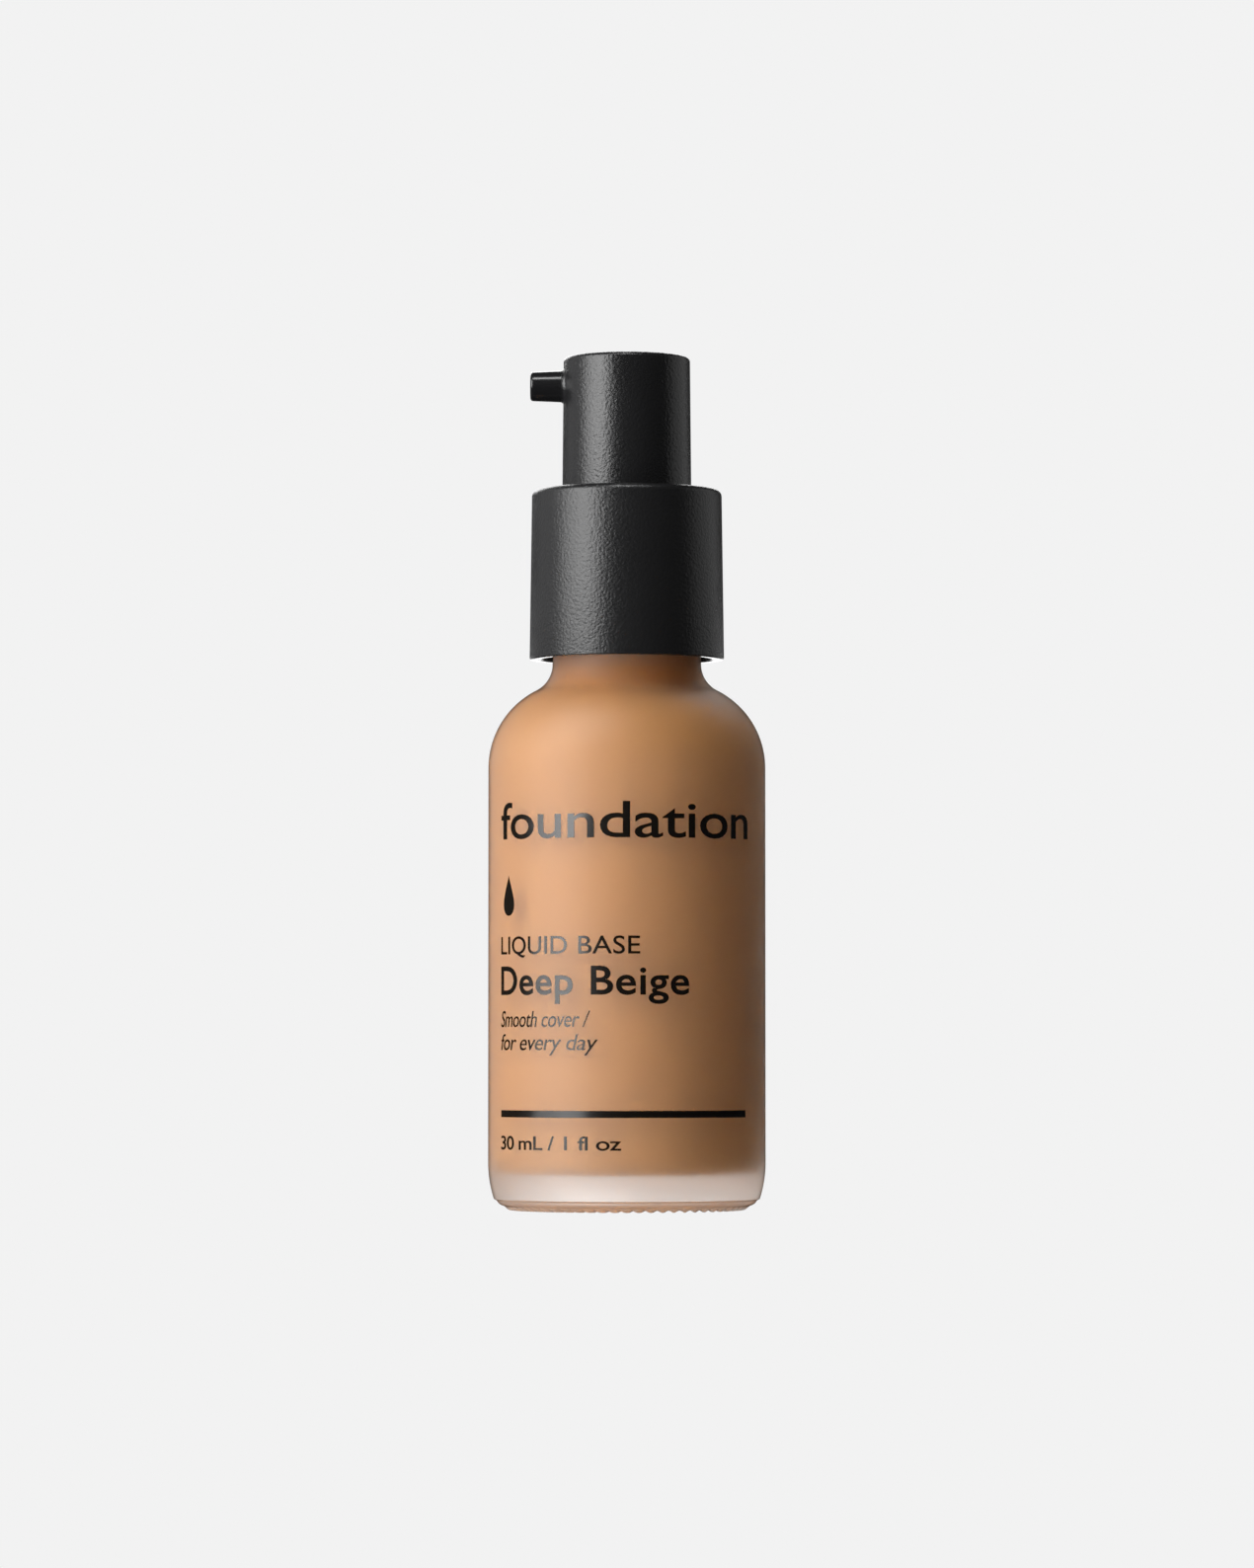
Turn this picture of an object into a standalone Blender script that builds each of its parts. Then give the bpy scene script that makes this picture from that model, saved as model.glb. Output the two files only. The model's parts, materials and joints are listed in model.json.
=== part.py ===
"""A 30 mL glass foundation bottle with a screw-on treatment pump, as separate closed solids.

The bottle stands on the XY plane with its axis on +Z. The print faces -Y and the nozzle points to -X.
Lengths below are millimetres; the meshes are written in metres.
"""

import math
from dataclasses import dataclass

import bmesh
import bpy
from mathutils import Matrix, Vector

MM = 0.001

# Glass body
BODY_RADIUS = 16.4
WALL = 2.5
FLOOR_Z = 4.2
FLOOR_CORNER = 2.0
WALL_START_Z = 5.65
HEEL_RADIUS = 15.72
HEEL_Z = 1.34
HEEL_STEP = 0.35
HEEL_STEP_DROP = 0.2
BEARING_OUTER = 13.5
BEARING_INNER = 12.0
PUNT_RISE = 1.3
SHOULDER_Z = 52.27
SHOULDER_ARC = 10.29
NECK_ARC = 3.55

# Neck finish: one turn of a right-hand thread, six turns to the inch
NECK_RADIUS = 8.8
BORE_RADIUS = 7.2
BORE_ARC = 1.5
FINISH_HEIGHT = 10.667
THREAD_RADIUS = 9.75
THREAD_PITCH = 25.4 / 6
THREAD_TURNS = 1.15
THREAD_CREST_HALF = 0.55
THREAD_FLANK = 0.6
THREAD_TOP_DROP = 1.9
THREAD_RAMP = 40.0

# Fits and small edges
GAP = 0.25
RUN_GAP = 0.15
FILL_GAP = 0.3
CHAMFER = 0.3
MOUTH_ROUND = 0.5

# Screw collar
COLLAR_BOTTOM_Z = 65.15
COLLAR_TOP_Z = 85.3
COLLAR_BOTTOM_RADIUS = 11.53
COLLAR_TOP_RADIUS = 11.25
COLLAR_EDGE = 0.8
COLLAR_RIM = 0.25
COLLAR_BORE = 10.05
COLLAR_THREAD_RADIUS = 9.2
COLLAR_ROOF = 1.1
WELL_RADIUS = 8.0
WELL_WALL = 0.9
DECK_THICKNESS = 1.2
DECK_HOLE = 5.4
SNAP_RADIUS = 9.4
SNAP_LAND = 0.3

# Pump
STROKE = 4.8
GASKET_THICKNESS = 0.8
FLANGE_THICKNESS = 1.0
FLANGE_RADIUS = 9.7
HOUSING_RADIUS = 4.6
CHAMBER_RADIUS = 3.75
CHAMBER_DEPTH = 21.0
SEAT_DROP = 0.9
THROAT_RADIUS = 1.0
THROAT_LENGTH = 1.6
TAPER_HEIGHT = 1.8
SOCKET_RADIUS = 3.1
SOCKET_DEPTH = 4.8
TUBE_RADIUS = 2.0
TUBE_BORE = 1.3
TUBE_CLEARANCE = 1.6
TUBE_SLANT = 0.5
FILL_ABOVE_NECK = 2.2
VENT_RADIUS = 0.4
VALVE_LIFT = 0.8
BALL_GAP = 0.05
INLET_BALL_RADIUS = 1.5
OUTLET_BALL_RADIUS = 1.4
CAGE_HEIGHT = 3.0
CAGE_HOLE = 0.7
CAGE_SLOT = 0.7
SPRING_RADIUS = 2.5
SPRING_WIRE = 0.3
SPRING_COILS = 5.5
SPRING_DEAD_COIL = 0.75
SPRING_POINTS = 14
PISTON_HEIGHT = 4.2
PISTON_LAG = 0.6
LIP_DEPTH = 0.7
LIP_LENGTH = 0.6
ROD_HEAD = 1.1
ROD_RADIUS = 2.95
ROD_PIN = 1.0
RETAINER_DEPTH = 2.8
STEM_RADIUS = 2.6
STEM_NECK_RADIUS = 1.9
STEM_BORE = 1.2
STEM_LENGTH = 18.6
STEM_INSET = 0.2
PORT_WIDTH = 0.8
PORT_HEIGHT = 1.1
OUTLET_DEPTH = 4.2

# Actuator
HEAD_TOP_Z = 101.1
HEAD_TOP_RADIUS = 7.5
HEAD_BASE_RADIUS = 7.66
HEAD_EDGE = 0.55
HEAD_WALL = 0.85
HEAD_ROOF = 1.9
HEAD_SINK = 0.8
POST_RADIUS = 3.6
OUTLET_BORE = 0.9
RETAINER_LIP = 0.2
NOZZLE_Z = 97.66
NOZZLE_REACH = 11.47
NOZZLE_TIP_RADIUS = 1.74
NOZZLE_ROOT_RADIUS = 1.865
NOZZLE_FLARE = 0.45

# Facets round a full turn
ROUND = 40
MEDIUM = 32
FINE = 24
SMALL = 16

# Heights that follow from the sizes above
CONVEX_R = BODY_RADIUS - SHOULDER_ARC
NECK_ARC_RISE = math.sqrt((SHOULDER_ARC + NECK_ARC) ** 2 - (NECK_RADIUS + NECK_ARC - CONVEX_R) ** 2)
NECK_Z = SHOULDER_Z + NECK_ARC_RISE
FINISH_Z = NECK_Z + FINISH_HEIGHT
GASKET_Z = FINISH_Z + GAP
FLANGE_Z = GASKET_Z + GASKET_THICKNESS + GAP
FLANGE_TOP_Z = FLANGE_Z + FLANGE_THICKNESS
DECK_Z = FLANGE_TOP_Z + GAP
DECK_TOP_Z = DECK_Z + DECK_THICKNESS
CHAMBER_Z = FLANGE_TOP_Z - CHAMBER_DEPTH
RETAINER_Z = FLANGE_TOP_Z - RETAINER_DEPTH
PISTON_Z = RETAINER_Z - GAP - PISTON_LAG - PISTON_HEIGHT
ROD_HEAD_Z = PISTON_Z - GAP - ROD_HEAD
STEM_Z = PISTON_Z + STEM_INSET
STEM_TOP_Z = STEM_Z + STEM_LENGTH
OUTLET_SEAT_Z = STEM_TOP_Z - OUTLET_DEPTH
SEAT_Z = CHAMBER_Z - SEAT_DROP
SOCKET_TOP_Z = SEAT_Z - THROAT_LENGTH
SOCKET_Z = SOCKET_TOP_Z - SOCKET_DEPTH
CAGE_Z = CHAMBER_Z + GAP
RETAINER_TOP_Z = DECK_TOP_Z + RETAINER_LIP
HEAD_BASE_Z = COLLAR_TOP_Z - HEAD_SINK
TUBE_Z = FLOOR_Z + TUBE_CLEARANCE


@dataclass(frozen=True)
class Finish:
    """Surface of one sub-part: linear colour, roughness and metallic value."""

    colour: tuple
    roughness: float
    metallic: float = 0.0
    alpha: float = 1.0


FROSTED_GLASS = Finish((0.62, 0.55, 0.50), 0.45, alpha=0.35)
FOUNDATION = Finish((0.42, 0.17, 0.065), 0.5)
BLACK_PLASTIC = Finish((0.014, 0.014, 0.015), 0.5)
NATURAL_PLASTIC = Finish((0.72, 0.73, 0.72), 0.4)
TUBE_PLASTIC = Finish((0.66, 0.67, 0.66), 0.35)
SEAL_PLASTIC = Finish((0.80, 0.80, 0.78), 0.55)
STEEL = Finish((0.55, 0.55, 0.56), 0.25, metallic=1.0)


def clear_scene():
    """Removes whatever the scene holds, so that the file can be run again."""
    for thing in list(bpy.data.objects):
        bpy.data.objects.remove(thing, do_unlink=True)


def material(name, finish):
    """A Principled material of its own for one sub-part."""
    made = bpy.data.materials.new(name)
    made.use_nodes = True
    shader = made.node_tree.nodes["Principled BSDF"]
    shader.inputs["Base Color"].default_value = (*finish.colour, 1.0)
    shader.inputs["Roughness"].default_value = finish.roughness
    shader.inputs["Metallic"].default_value = finish.metallic
    shader.inputs["Alpha"].default_value = finish.alpha
    made.diffuse_color = (*finish.colour, finish.alpha)
    return made


def body_frame(name, z, parent=None):
    """An empty on the bottle's axis that carries the pieces of one moving body."""
    frame = bpy.data.objects.new(name, None)
    bpy.context.collection.objects.link(frame)
    frame.parent = parent
    base = parent.matrix_world.translation.z if parent else 0.0
    frame.location = (0.0, 0.0, z * MM - base)
    bpy.context.view_layer.update()
    return frame


def add_piece(name, mesh_maker, finish, frame):
    """Makes one object from a bmesh in world millimetres, with its origin at its body's frame."""
    mesh = bpy.data.meshes.new(name)
    offset = frame.matrix_world.translation
    mesh_maker.transform(Matrix.Translation(-offset) @ Matrix.Scale(MM, 4))
    mesh_maker.to_mesh(mesh)
    mesh_maker.free()
    mesh.shade_smooth()
    mesh.set_sharp_from_angle(angle=math.radians(35.0))
    mesh.materials.append(material(name, finish))
    piece = bpy.data.objects.new(name, mesh)
    bpy.context.collection.objects.link(piece)
    piece.parent = frame
    return piece


def arc(centre, radius, start, end, steps):
    """Points on a circle in the plane of radius and height, between two angles in degrees."""
    angles = [math.radians(start + (end - start) * i / steps) for i in range(steps + 1)]
    return [(centre[0] + radius * math.cos(a), centre[1] + radius * math.sin(a)) for a in angles]


def double_arc(outer_radius, start_z, convex, concave, neck_radius, steps):
    """The shoulder's S curve: a convex arc off the wall, then a concave arc that ends upright at the neck."""
    centre = (outer_radius - convex, start_z)
    across = neck_radius + concave - centre[0]
    rise = math.sqrt((convex + concave) ** 2 - across**2)
    meet = math.degrees(math.atan2(rise, across))
    upper = (neck_radius + concave, start_z + rise)
    lower_points = arc(centre, convex, 0.0, meet, steps)
    upper_points = arc(upper, concave, meet + 180.0, 180.0, max(3, steps // 2))
    return lower_points + upper_points[1:]


def oriented(shape):
    """Turns every face outwards, judged by the sign of the enclosed volume."""
    bmesh.ops.recalc_face_normals(shape, faces=shape.faces)
    if shape.calc_volume(signed=True) < 0:
        bmesh.ops.reverse_faces(shape, faces=shape.faces)
    return shape


def turned(outline, facets, axis=Vector((0, 0, 1)), radial=Vector((1, 0, 0)), centre=Vector((0, 0, 0))):
    """A solid of revolution from (radius, height) points, closed on itself or with both ends on the axis."""
    shape = bmesh.new()
    points = [shape.verts.new(centre + radial * r + axis * h) for r, h in outline]
    closed = all(r > 0 for r, _ in outline)
    pairs = list(zip(points, points[1:]))
    if closed:
        pairs.append((points[-1], points[0]))
    edges = [shape.edges.new(pair) for pair in pairs]
    bmesh.ops.spin(
        shape,
        geom=points + edges,
        cent=centre,
        axis=axis,
        angle=math.tau,
        steps=facets,
        use_merge=True,
    )
    bmesh.ops.remove_doubles(shape, verts=shape.verts, dist=1e-5)
    return oriented(shape)


def helical_ridge(root_radius, crest_radius, top_z):
    """A right-hand thread ridge whose crest sinks back into the wall at both ends."""
    shape = bmesh.new()
    steps = round(THREAD_TURNS * ROUND)
    start_angle = math.pi / ROUND
    outward = 1.0 if crest_radius > root_radius else -1.0
    buried = root_radius + RUN_GAP * outward
    sections = []
    for step in range(steps + 1):
        angle = math.tau * step / ROUND
        height = top_z + THREAD_PITCH * (angle / math.tau - THREAD_TURNS)
        ramp = min(step, steps - step) / (THREAD_RAMP / 360.0 * ROUND)
        blend = min(1.0, ramp)
        crest = buried + (crest_radius - buried) * blend
        section = []
        for radius, side in ((root_radius, -1), (crest, -1), (crest, 1), (root_radius, 1)):
            half = THREAD_CREST_HALF + abs(crest_radius - radius) * THREAD_FLANK
            turn = angle + start_angle
            place = (radius * math.cos(turn), radius * math.sin(turn), height + side * half)
            section.append(shape.verts.new(place))
        sections.append(section)
    for here, there in zip(sections, sections[1:]):
        for i in range(4):
            j = (i + 1) % 4
            shape.faces.new((here[i], here[j], there[j], there[i]))
    shape.faces.new(sections[0])
    shape.faces.new(sections[-1])
    bmesh.ops.triangulate(shape, faces=shape.faces)
    return oriented(shape)


def box(low, high):
    """A closed block between two corners."""
    shape = bmesh.new()
    bmesh.ops.create_cube(shape, size=1.0)
    size = Vector(high) - Vector(low)
    middle = (Vector(high) + Vector(low)) / 2
    shape.transform(Matrix.Translation(middle) @ Matrix.Diagonal((*size, 1.0)))
    return oriented(shape)


def combine(piece, shape, operation):
    """Joins a bmesh to a piece, or cuts it away, with an exact Boolean that stays on the piece."""
    tool = add_piece(f"{piece.name}_{operation.lower()}_tool", shape, BLACK_PLASTIC, piece.parent)
    tool.hide_render = True
    tool.display_type = "WIRE"
    step = piece.modifiers.new(tool.name, "BOOLEAN")
    step.operation = operation
    step.solver = "EXACT"
    step.object = tool


def glass_bottle(frame):
    """Thick-walled bottle with a raised punt, rounded heel, domed shoulder and threaded neck."""
    punt_radius = (BEARING_INNER**2 + PUNT_RISE**2) / (2 * PUNT_RISE)
    punt_half = math.degrees(math.asin(BEARING_INNER / punt_radius))
    punt = arc((0.0, PUNT_RISE - punt_radius), punt_radius, 90.0, 90.0 - punt_half, 4)
    punt[0] = (0.0, PUNT_RISE)

    heel_out = HEEL_RADIUS - HEEL_STEP - BEARING_OUTER
    step_z = HEEL_Z - HEEL_STEP_DROP
    low_arc = (heel_out**2 + step_z**2) / (2 * step_z)
    low_end = math.degrees(math.atan2(step_z - low_arc, heel_out))
    heel = arc((BEARING_OUTER, low_arc), low_arc, -90.0, low_end, 4)

    lean = BODY_RADIUS - HEEL_RADIUS
    rise = WALL_START_Z - HEEL_Z
    high_arc = (lean**2 + rise**2) / (2 * lean)
    high_start = math.degrees(math.atan2(-rise, high_arc - lean))
    heel += arc((BODY_RADIUS - high_arc, WALL_START_Z), high_arc, high_start, 0.0, 3)

    shoulder = double_arc(BODY_RADIUS, SHOULDER_Z, SHOULDER_ARC, NECK_ARC, NECK_RADIUS, 8)
    mouth_z = FINISH_Z - MOUTH_ROUND
    mouth = arc((NECK_RADIUS - MOUTH_ROUND, mouth_z), MOUTH_ROUND, 0.0, 90.0, 2)
    mouth += arc((BORE_RADIUS + MOUTH_ROUND, mouth_z), MOUTH_ROUND, 90.0, 180.0, 2)

    inside = double_arc(BODY_RADIUS - WALL, SHOULDER_Z, SHOULDER_ARC - WALL, BORE_ARC, BORE_RADIUS, 8)
    floor_centre = (BODY_RADIUS - WALL - FLOOR_CORNER, FLOOR_Z + FLOOR_CORNER)
    floor = arc(floor_centre, FLOOR_CORNER, 0.0, -90.0, 4)

    outline = punt + heel + shoulder + mouth + inside[::-1] + floor + [(0.0, FLOOR_Z)]
    piece = add_piece("glass_bottle", turned(outline, ROUND), FROSTED_GLASS, frame)
    ridge = helical_ridge(NECK_RADIUS - MOUTH_ROUND, THREAD_RADIUS, FINISH_Z - THREAD_TOP_DROP)
    combine(piece, ridge, "UNION")


def foundation_fill(frame):
    """The liquid, clear of the glass, with a stepped well round the pump and its tube."""
    outer = BODY_RADIUS - WALL - FILL_GAP
    convex = SHOULDER_ARC - WALL - FILL_GAP
    shoulder = double_arc(outer, SHOULDER_Z, convex, BORE_ARC + FILL_GAP, BORE_RADIUS - FILL_GAP, 6)
    corner = FLOOR_CORNER - FILL_GAP
    low = FLOOR_Z + FILL_GAP
    floor = arc((outer - corner, low + corner), corner, -90.0, 0.0, 3)
    surface_z = NECK_Z + FILL_ABOVE_NECK
    taper_z = CHAMBER_Z - TAPER_HEIGHT
    well_floor = TUBE_Z - FILL_GAP
    well = [
        (HOUSING_RADIUS + FILL_GAP, surface_z),
        (HOUSING_RADIUS + FILL_GAP, taper_z),
        (SOCKET_RADIUS + FILL_GAP, taper_z - TAPER_HEIGHT),
        (SOCKET_RADIUS + FILL_GAP, SOCKET_Z - FILL_GAP),
        (TUBE_RADIUS + FILL_GAP, SOCKET_Z - FILL_GAP),
        (TUBE_RADIUS + FILL_GAP, well_floor),
        (0.0, well_floor),
    ]
    outline = [(0.0, low)] + floor + shoulder + [(BORE_RADIUS - FILL_GAP, surface_z)] + well
    add_piece("foundation_fill", turned(outline, MEDIUM), FOUNDATION, frame)


def closure(frame):
    """Smooth threaded collar with a deck that holds the pump down and a well for the actuator."""
    edge = arc((COLLAR_TOP_RADIUS - COLLAR_EDGE, COLLAR_TOP_Z - COLLAR_EDGE), COLLAR_EDGE, 90.0, 0.0, 4)
    well_edge = arc((WELL_RADIUS + COLLAR_RIM, COLLAR_TOP_Z - COLLAR_RIM), COLLAR_RIM, 180.0, 90.0, 2)
    roof_z = COLLAR_TOP_Z - COLLAR_ROOF
    snap_z = FLANGE_Z - GAP - SNAP_LAND - CHAMFER
    lead_in = COLLAR_BORE + CHAMFER
    skirt = [
        (COLLAR_BOTTOM_RADIUS, COLLAR_BOTTOM_Z + COLLAR_RIM),
        (COLLAR_BOTTOM_RADIUS - COLLAR_RIM, COLLAR_BOTTOM_Z),
        (lead_in, COLLAR_BOTTOM_Z),
        (COLLAR_BORE, COLLAR_BOTTOM_Z + CHAMFER),
        (COLLAR_BORE, snap_z - CHAMFER),
        (SNAP_RADIUS, snap_z),
        (SNAP_RADIUS, snap_z + SNAP_LAND),
        (COLLAR_BORE, snap_z + SNAP_LAND + CHAMFER),
        (COLLAR_BORE, roof_z),
    ]
    chimney = [
        (WELL_RADIUS + WELL_WALL, roof_z),
        (WELL_RADIUS + WELL_WALL, DECK_Z),
        (DECK_HOLE, DECK_Z),
        (DECK_HOLE, DECK_TOP_Z),
        (WELL_RADIUS, DECK_TOP_Z),
    ]
    outline = edge + skirt + chimney + well_edge
    piece = add_piece("closure", turned(outline, ROUND), BLACK_PLASTIC, frame)
    thread_drop = 2 * THREAD_CREST_HALF + THREAD_FLANK * (THREAD_RADIUS - COLLAR_THREAD_RADIUS) + GAP
    thread_z = FINISH_Z - THREAD_TOP_DROP - thread_drop
    ridge = helical_ridge(COLLAR_BORE + MOUTH_ROUND, COLLAR_THREAD_RADIUS, thread_z)
    combine(piece, ridge, "UNION")


def neck_gasket(frame):
    """Flat sealing washer between the glass finish and the pump's flange."""
    top = GASKET_Z + GASKET_THICKNESS
    inner = BORE_RADIUS + GAP
    outer = NECK_RADIUS - GAP
    outline = [(inner, GASKET_Z), (outer, GASKET_Z), (outer, top), (inner, top)]
    add_piece("neck_gasket", turned(outline, MEDIUM), SEAL_PLASTIC, frame)


def pump_housing(frame):
    """Flanged chamber with a cone seat for the inlet ball, a tube socket and a vent hole."""
    socket_bore = TUBE_RADIUS + RUN_GAP
    taper_z = CHAMBER_Z - CHAMFER
    outline = [
        (CHAMBER_RADIUS, CHAMBER_Z),
        (CHAMBER_RADIUS, FLANGE_TOP_Z),
        (FLANGE_RADIUS, FLANGE_TOP_Z),
        (FLANGE_RADIUS, FLANGE_Z),
        (HOUSING_RADIUS + CHAMFER, FLANGE_Z),
        (HOUSING_RADIUS, FLANGE_Z - CHAMFER),
        (HOUSING_RADIUS, taper_z),
        (SOCKET_RADIUS, taper_z - TAPER_HEIGHT),
        (SOCKET_RADIUS, SOCKET_Z),
        (socket_bore + CHAMFER, SOCKET_Z),
        (socket_bore, SOCKET_Z + CHAMFER),
        (socket_bore, SOCKET_TOP_Z),
        (THROAT_RADIUS, SOCKET_TOP_Z),
        (THROAT_RADIUS, SEAT_Z),
        (THROAT_RADIUS + SEAT_DROP, CHAMBER_Z),
    ]
    piece = add_piece("pump_housing", turned(outline, FINE), NATURAL_PLASTIC, frame)
    reach = HOUSING_RADIUS + CHAMFER
    hole = [(0.0, 0.0), (VENT_RADIUS, 0.0), (VENT_RADIUS, reach), (0.0, reach)]
    centre = Vector((0, 0, PISTON_Z + PISTON_HEIGHT / 2))
    vent = turned(hole, SMALL, axis=Vector((0, 1, 0)), centre=centre)
    combine(piece, vent, "DIFFERENCE")


def dip_tube(frame):
    """Straight tube, cut at a slant at its foot so that the floor can't seal it."""
    top = SOCKET_TOP_Z - GAP
    outline = [(TUBE_BORE, TUBE_Z), (TUBE_RADIUS, TUBE_Z), (TUBE_RADIUS, top), (TUBE_BORE, top)]
    shape = turned(outline, SMALL)
    for point in shape.verts:
        if point.co.z < SOCKET_Z:
            point.co.z += (point.co.x + TUBE_RADIUS) * TUBE_SLANT
    add_piece("dip_tube", shape, TUBE_PLASTIC, frame)


def ball(name, radius, seat_radius, seat_z, frame):
    """A valve ball just clear of a cone seat that rises at 45 degrees."""
    shape = bmesh.new()
    bmesh.ops.create_uvsphere(shape, u_segments=12, v_segments=8, radius=radius)
    height = ball_height(radius, seat_radius, seat_z)
    shape.transform(Matrix.Translation((0, 0, height)))
    add_piece(name, oriented(shape), STEEL, frame)


def ball_height(radius, seat_radius, seat_z):
    """Height of a ball's centre when it lies one small gap above its cone seat."""
    return seat_z - seat_radius + math.sqrt(2.0) * (radius + BALL_GAP)


def ball_cage(frame):
    """Slotted cap over the inlet ball, which stops its lift and seats the spring."""
    roof = CAGE_Z + CAGE_HEIGHT
    ball_top = ball_height(INLET_BALL_RADIUS, THROAT_RADIUS, SEAT_Z) + INLET_BALL_RADIUS
    ceiling = ball_top + VALVE_LIFT + BALL_GAP
    room = INLET_BALL_RADIUS + GAP
    outer = CHAMBER_RADIUS - GAP
    outline = [
        (room, CAGE_Z),
        (outer, CAGE_Z),
        (outer, roof - CHAMFER),
        (outer - CHAMFER, roof),
        (CAGE_HOLE, roof),
        (CAGE_HOLE, ceiling),
        (room, ceiling),
    ]
    piece = add_piece("ball_cage", turned(outline, FINE), SEAL_PLASTIC, frame)
    half = CAGE_SLOT / 2
    slot = box((-room, -half, CAGE_Z + CAGE_HEIGHT / 3), (room, half, roof + CHAMFER))
    combine(piece, slot, "DIFFERENCE")


def spring_height(along, bottom, top):
    """Height of the wire's centre, from 0 to 1 along it: flat end coils and an even climb between them."""
    dead = SPRING_DEAD_COIL / SPRING_COILS
    rise = 0.8 * SPRING_WIRE
    climb = min(1.0, max(0.0, (along - dead) / (1.0 - 2 * dead)))
    ends = (min(along, dead) + max(0.0, along - 1.0 + dead)) / dead
    return bottom + rise * ends + (top - bottom - 2 * rise) * climb


def return_spring(frame):
    """Compression spring of round wire with closed end coils, as a bevelled curve."""
    bottom = CAGE_Z + CAGE_HEIGHT + SPRING_WIRE + RUN_GAP
    top = ROD_HEAD_Z - SPRING_WIRE - RUN_GAP
    curve = bpy.data.curves.new("return_spring", "CURVE")
    curve.dimensions = "3D"
    curve.bevel_depth = SPRING_WIRE * MM
    curve.bevel_resolution = 1
    curve.use_fill_caps = True
    steps = round(SPRING_COILS * SPRING_POINTS)
    line = curve.splines.new("POLY")
    line.points.add(steps)
    base = frame.matrix_world.translation.z
    for i, point in enumerate(line.points):
        turn = math.tau * SPRING_COILS * i / steps
        x = SPRING_RADIUS * math.cos(turn) * MM
        y = SPRING_RADIUS * math.sin(turn) * MM
        z = spring_height(i / steps, bottom, top) * MM - base
        point.co = (x, y, z, 1.0)
    curve.materials.append(material("return_spring", STEEL))
    spring = bpy.data.objects.new("return_spring", curve)
    bpy.context.collection.objects.link(spring)
    spring.parent = frame


def piston(frame):
    """Sliding seal with an upper and a lower lip, bored to float on the stem."""
    bore = STEM_NECK_RADIUS + RUN_GAP
    outer = CHAMBER_RADIUS - RUN_GAP
    waist = outer - LIP_DEPTH
    groove = (bore + outer) / 2
    half_height = PISTON_HEIGHT / 2
    upper = [
        (waist, half_height - 2 * LIP_LENGTH),
        (outer, half_height - LIP_LENGTH),
        (outer, half_height),
        (outer - CHAMFER, half_height),
        (groove, half_height - LIP_LENGTH),
        (bore, half_height),
    ]
    lower = [(r, -h) for r, h in reversed(upper)]
    middle = PISTON_Z + half_height
    outline = [(r, middle + h) for r, h in lower + upper]
    add_piece("piston", turned(outline, FINE), SEAL_PLASTIC, frame)


def piston_rod(frame):
    """Disc that closes the piston from below, with a pin that plugs into the stem."""
    top = PISTON_Z - GAP
    pin = STEM_BORE - RUN_GAP
    pin_z = STEM_Z + ROD_PIN
    outline = [
        (0.0, ROD_HEAD_Z),
        (ROD_RADIUS - CHAMFER, ROD_HEAD_Z),
        (ROD_RADIUS, ROD_HEAD_Z + CHAMFER),
        (ROD_RADIUS, top - CHAMFER),
        (ROD_RADIUS - CHAMFER, top),
        (pin, top),
        (pin, pin_z - CHAMFER),
        (pin - CHAMFER, pin_z),
        (0.0, pin_z),
    ]
    add_piece("piston_rod", turned(outline, FINE), NATURAL_PLASTIC, frame)


def pump_stem(frame):
    """Hollow stem with inlet ports at its foot and the outlet valve's chamber at its top."""
    shoulder_z = PISTON_Z + PISTON_HEIGHT + PISTON_LAG + GAP
    chamber = OUTLET_BALL_RADIUS + GAP
    outline = [
        (STEM_BORE, STEM_Z),
        (STEM_NECK_RADIUS, STEM_Z),
        (STEM_NECK_RADIUS, shoulder_z - CHAMFER),
        (STEM_RADIUS, shoulder_z + CHAMFER),
        (STEM_RADIUS, STEM_TOP_Z - CHAMFER),
        (STEM_RADIUS - CHAMFER, STEM_TOP_Z),
        (chamber, STEM_TOP_Z),
        (chamber, OUTLET_SEAT_Z + chamber - STEM_BORE),
        (STEM_BORE, OUTLET_SEAT_Z),
    ]
    piece = add_piece("pump_stem", turned(outline, FINE), NATURAL_PLASTIC, frame)
    reach = STEM_NECK_RADIUS + CHAMFER
    half = PORT_WIDTH / 2
    port_z = STEM_Z + ROD_PIN + CHAMFER
    ports = box((-reach, -half, port_z), (reach, half, port_z + PORT_HEIGHT))
    combine(piece, ports, "DIFFERENCE")


def stem_retainer(frame):
    """Guide ring that plugs the chamber's top and keeps the piston in."""
    bore = STEM_RADIUS + RUN_GAP
    plug = CHAMBER_RADIUS - RUN_GAP
    flange = DECK_HOLE - GAP
    flange_z = FLANGE_TOP_Z + GAP
    outline = [
        (bore, RETAINER_Z),
        (plug - CHAMFER, RETAINER_Z),
        (plug, RETAINER_Z + CHAMFER),
        (plug, flange_z),
        (flange, flange_z),
        (flange, RETAINER_TOP_Z - CHAMFER),
        (flange - CHAMFER, RETAINER_TOP_Z),
        (bore + CHAMFER, RETAINER_TOP_Z),
        (bore, RETAINER_TOP_Z - CHAMFER),
    ]
    add_piece("stem_retainer", turned(outline, FINE), SEAL_PLASTIC, frame)


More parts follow.
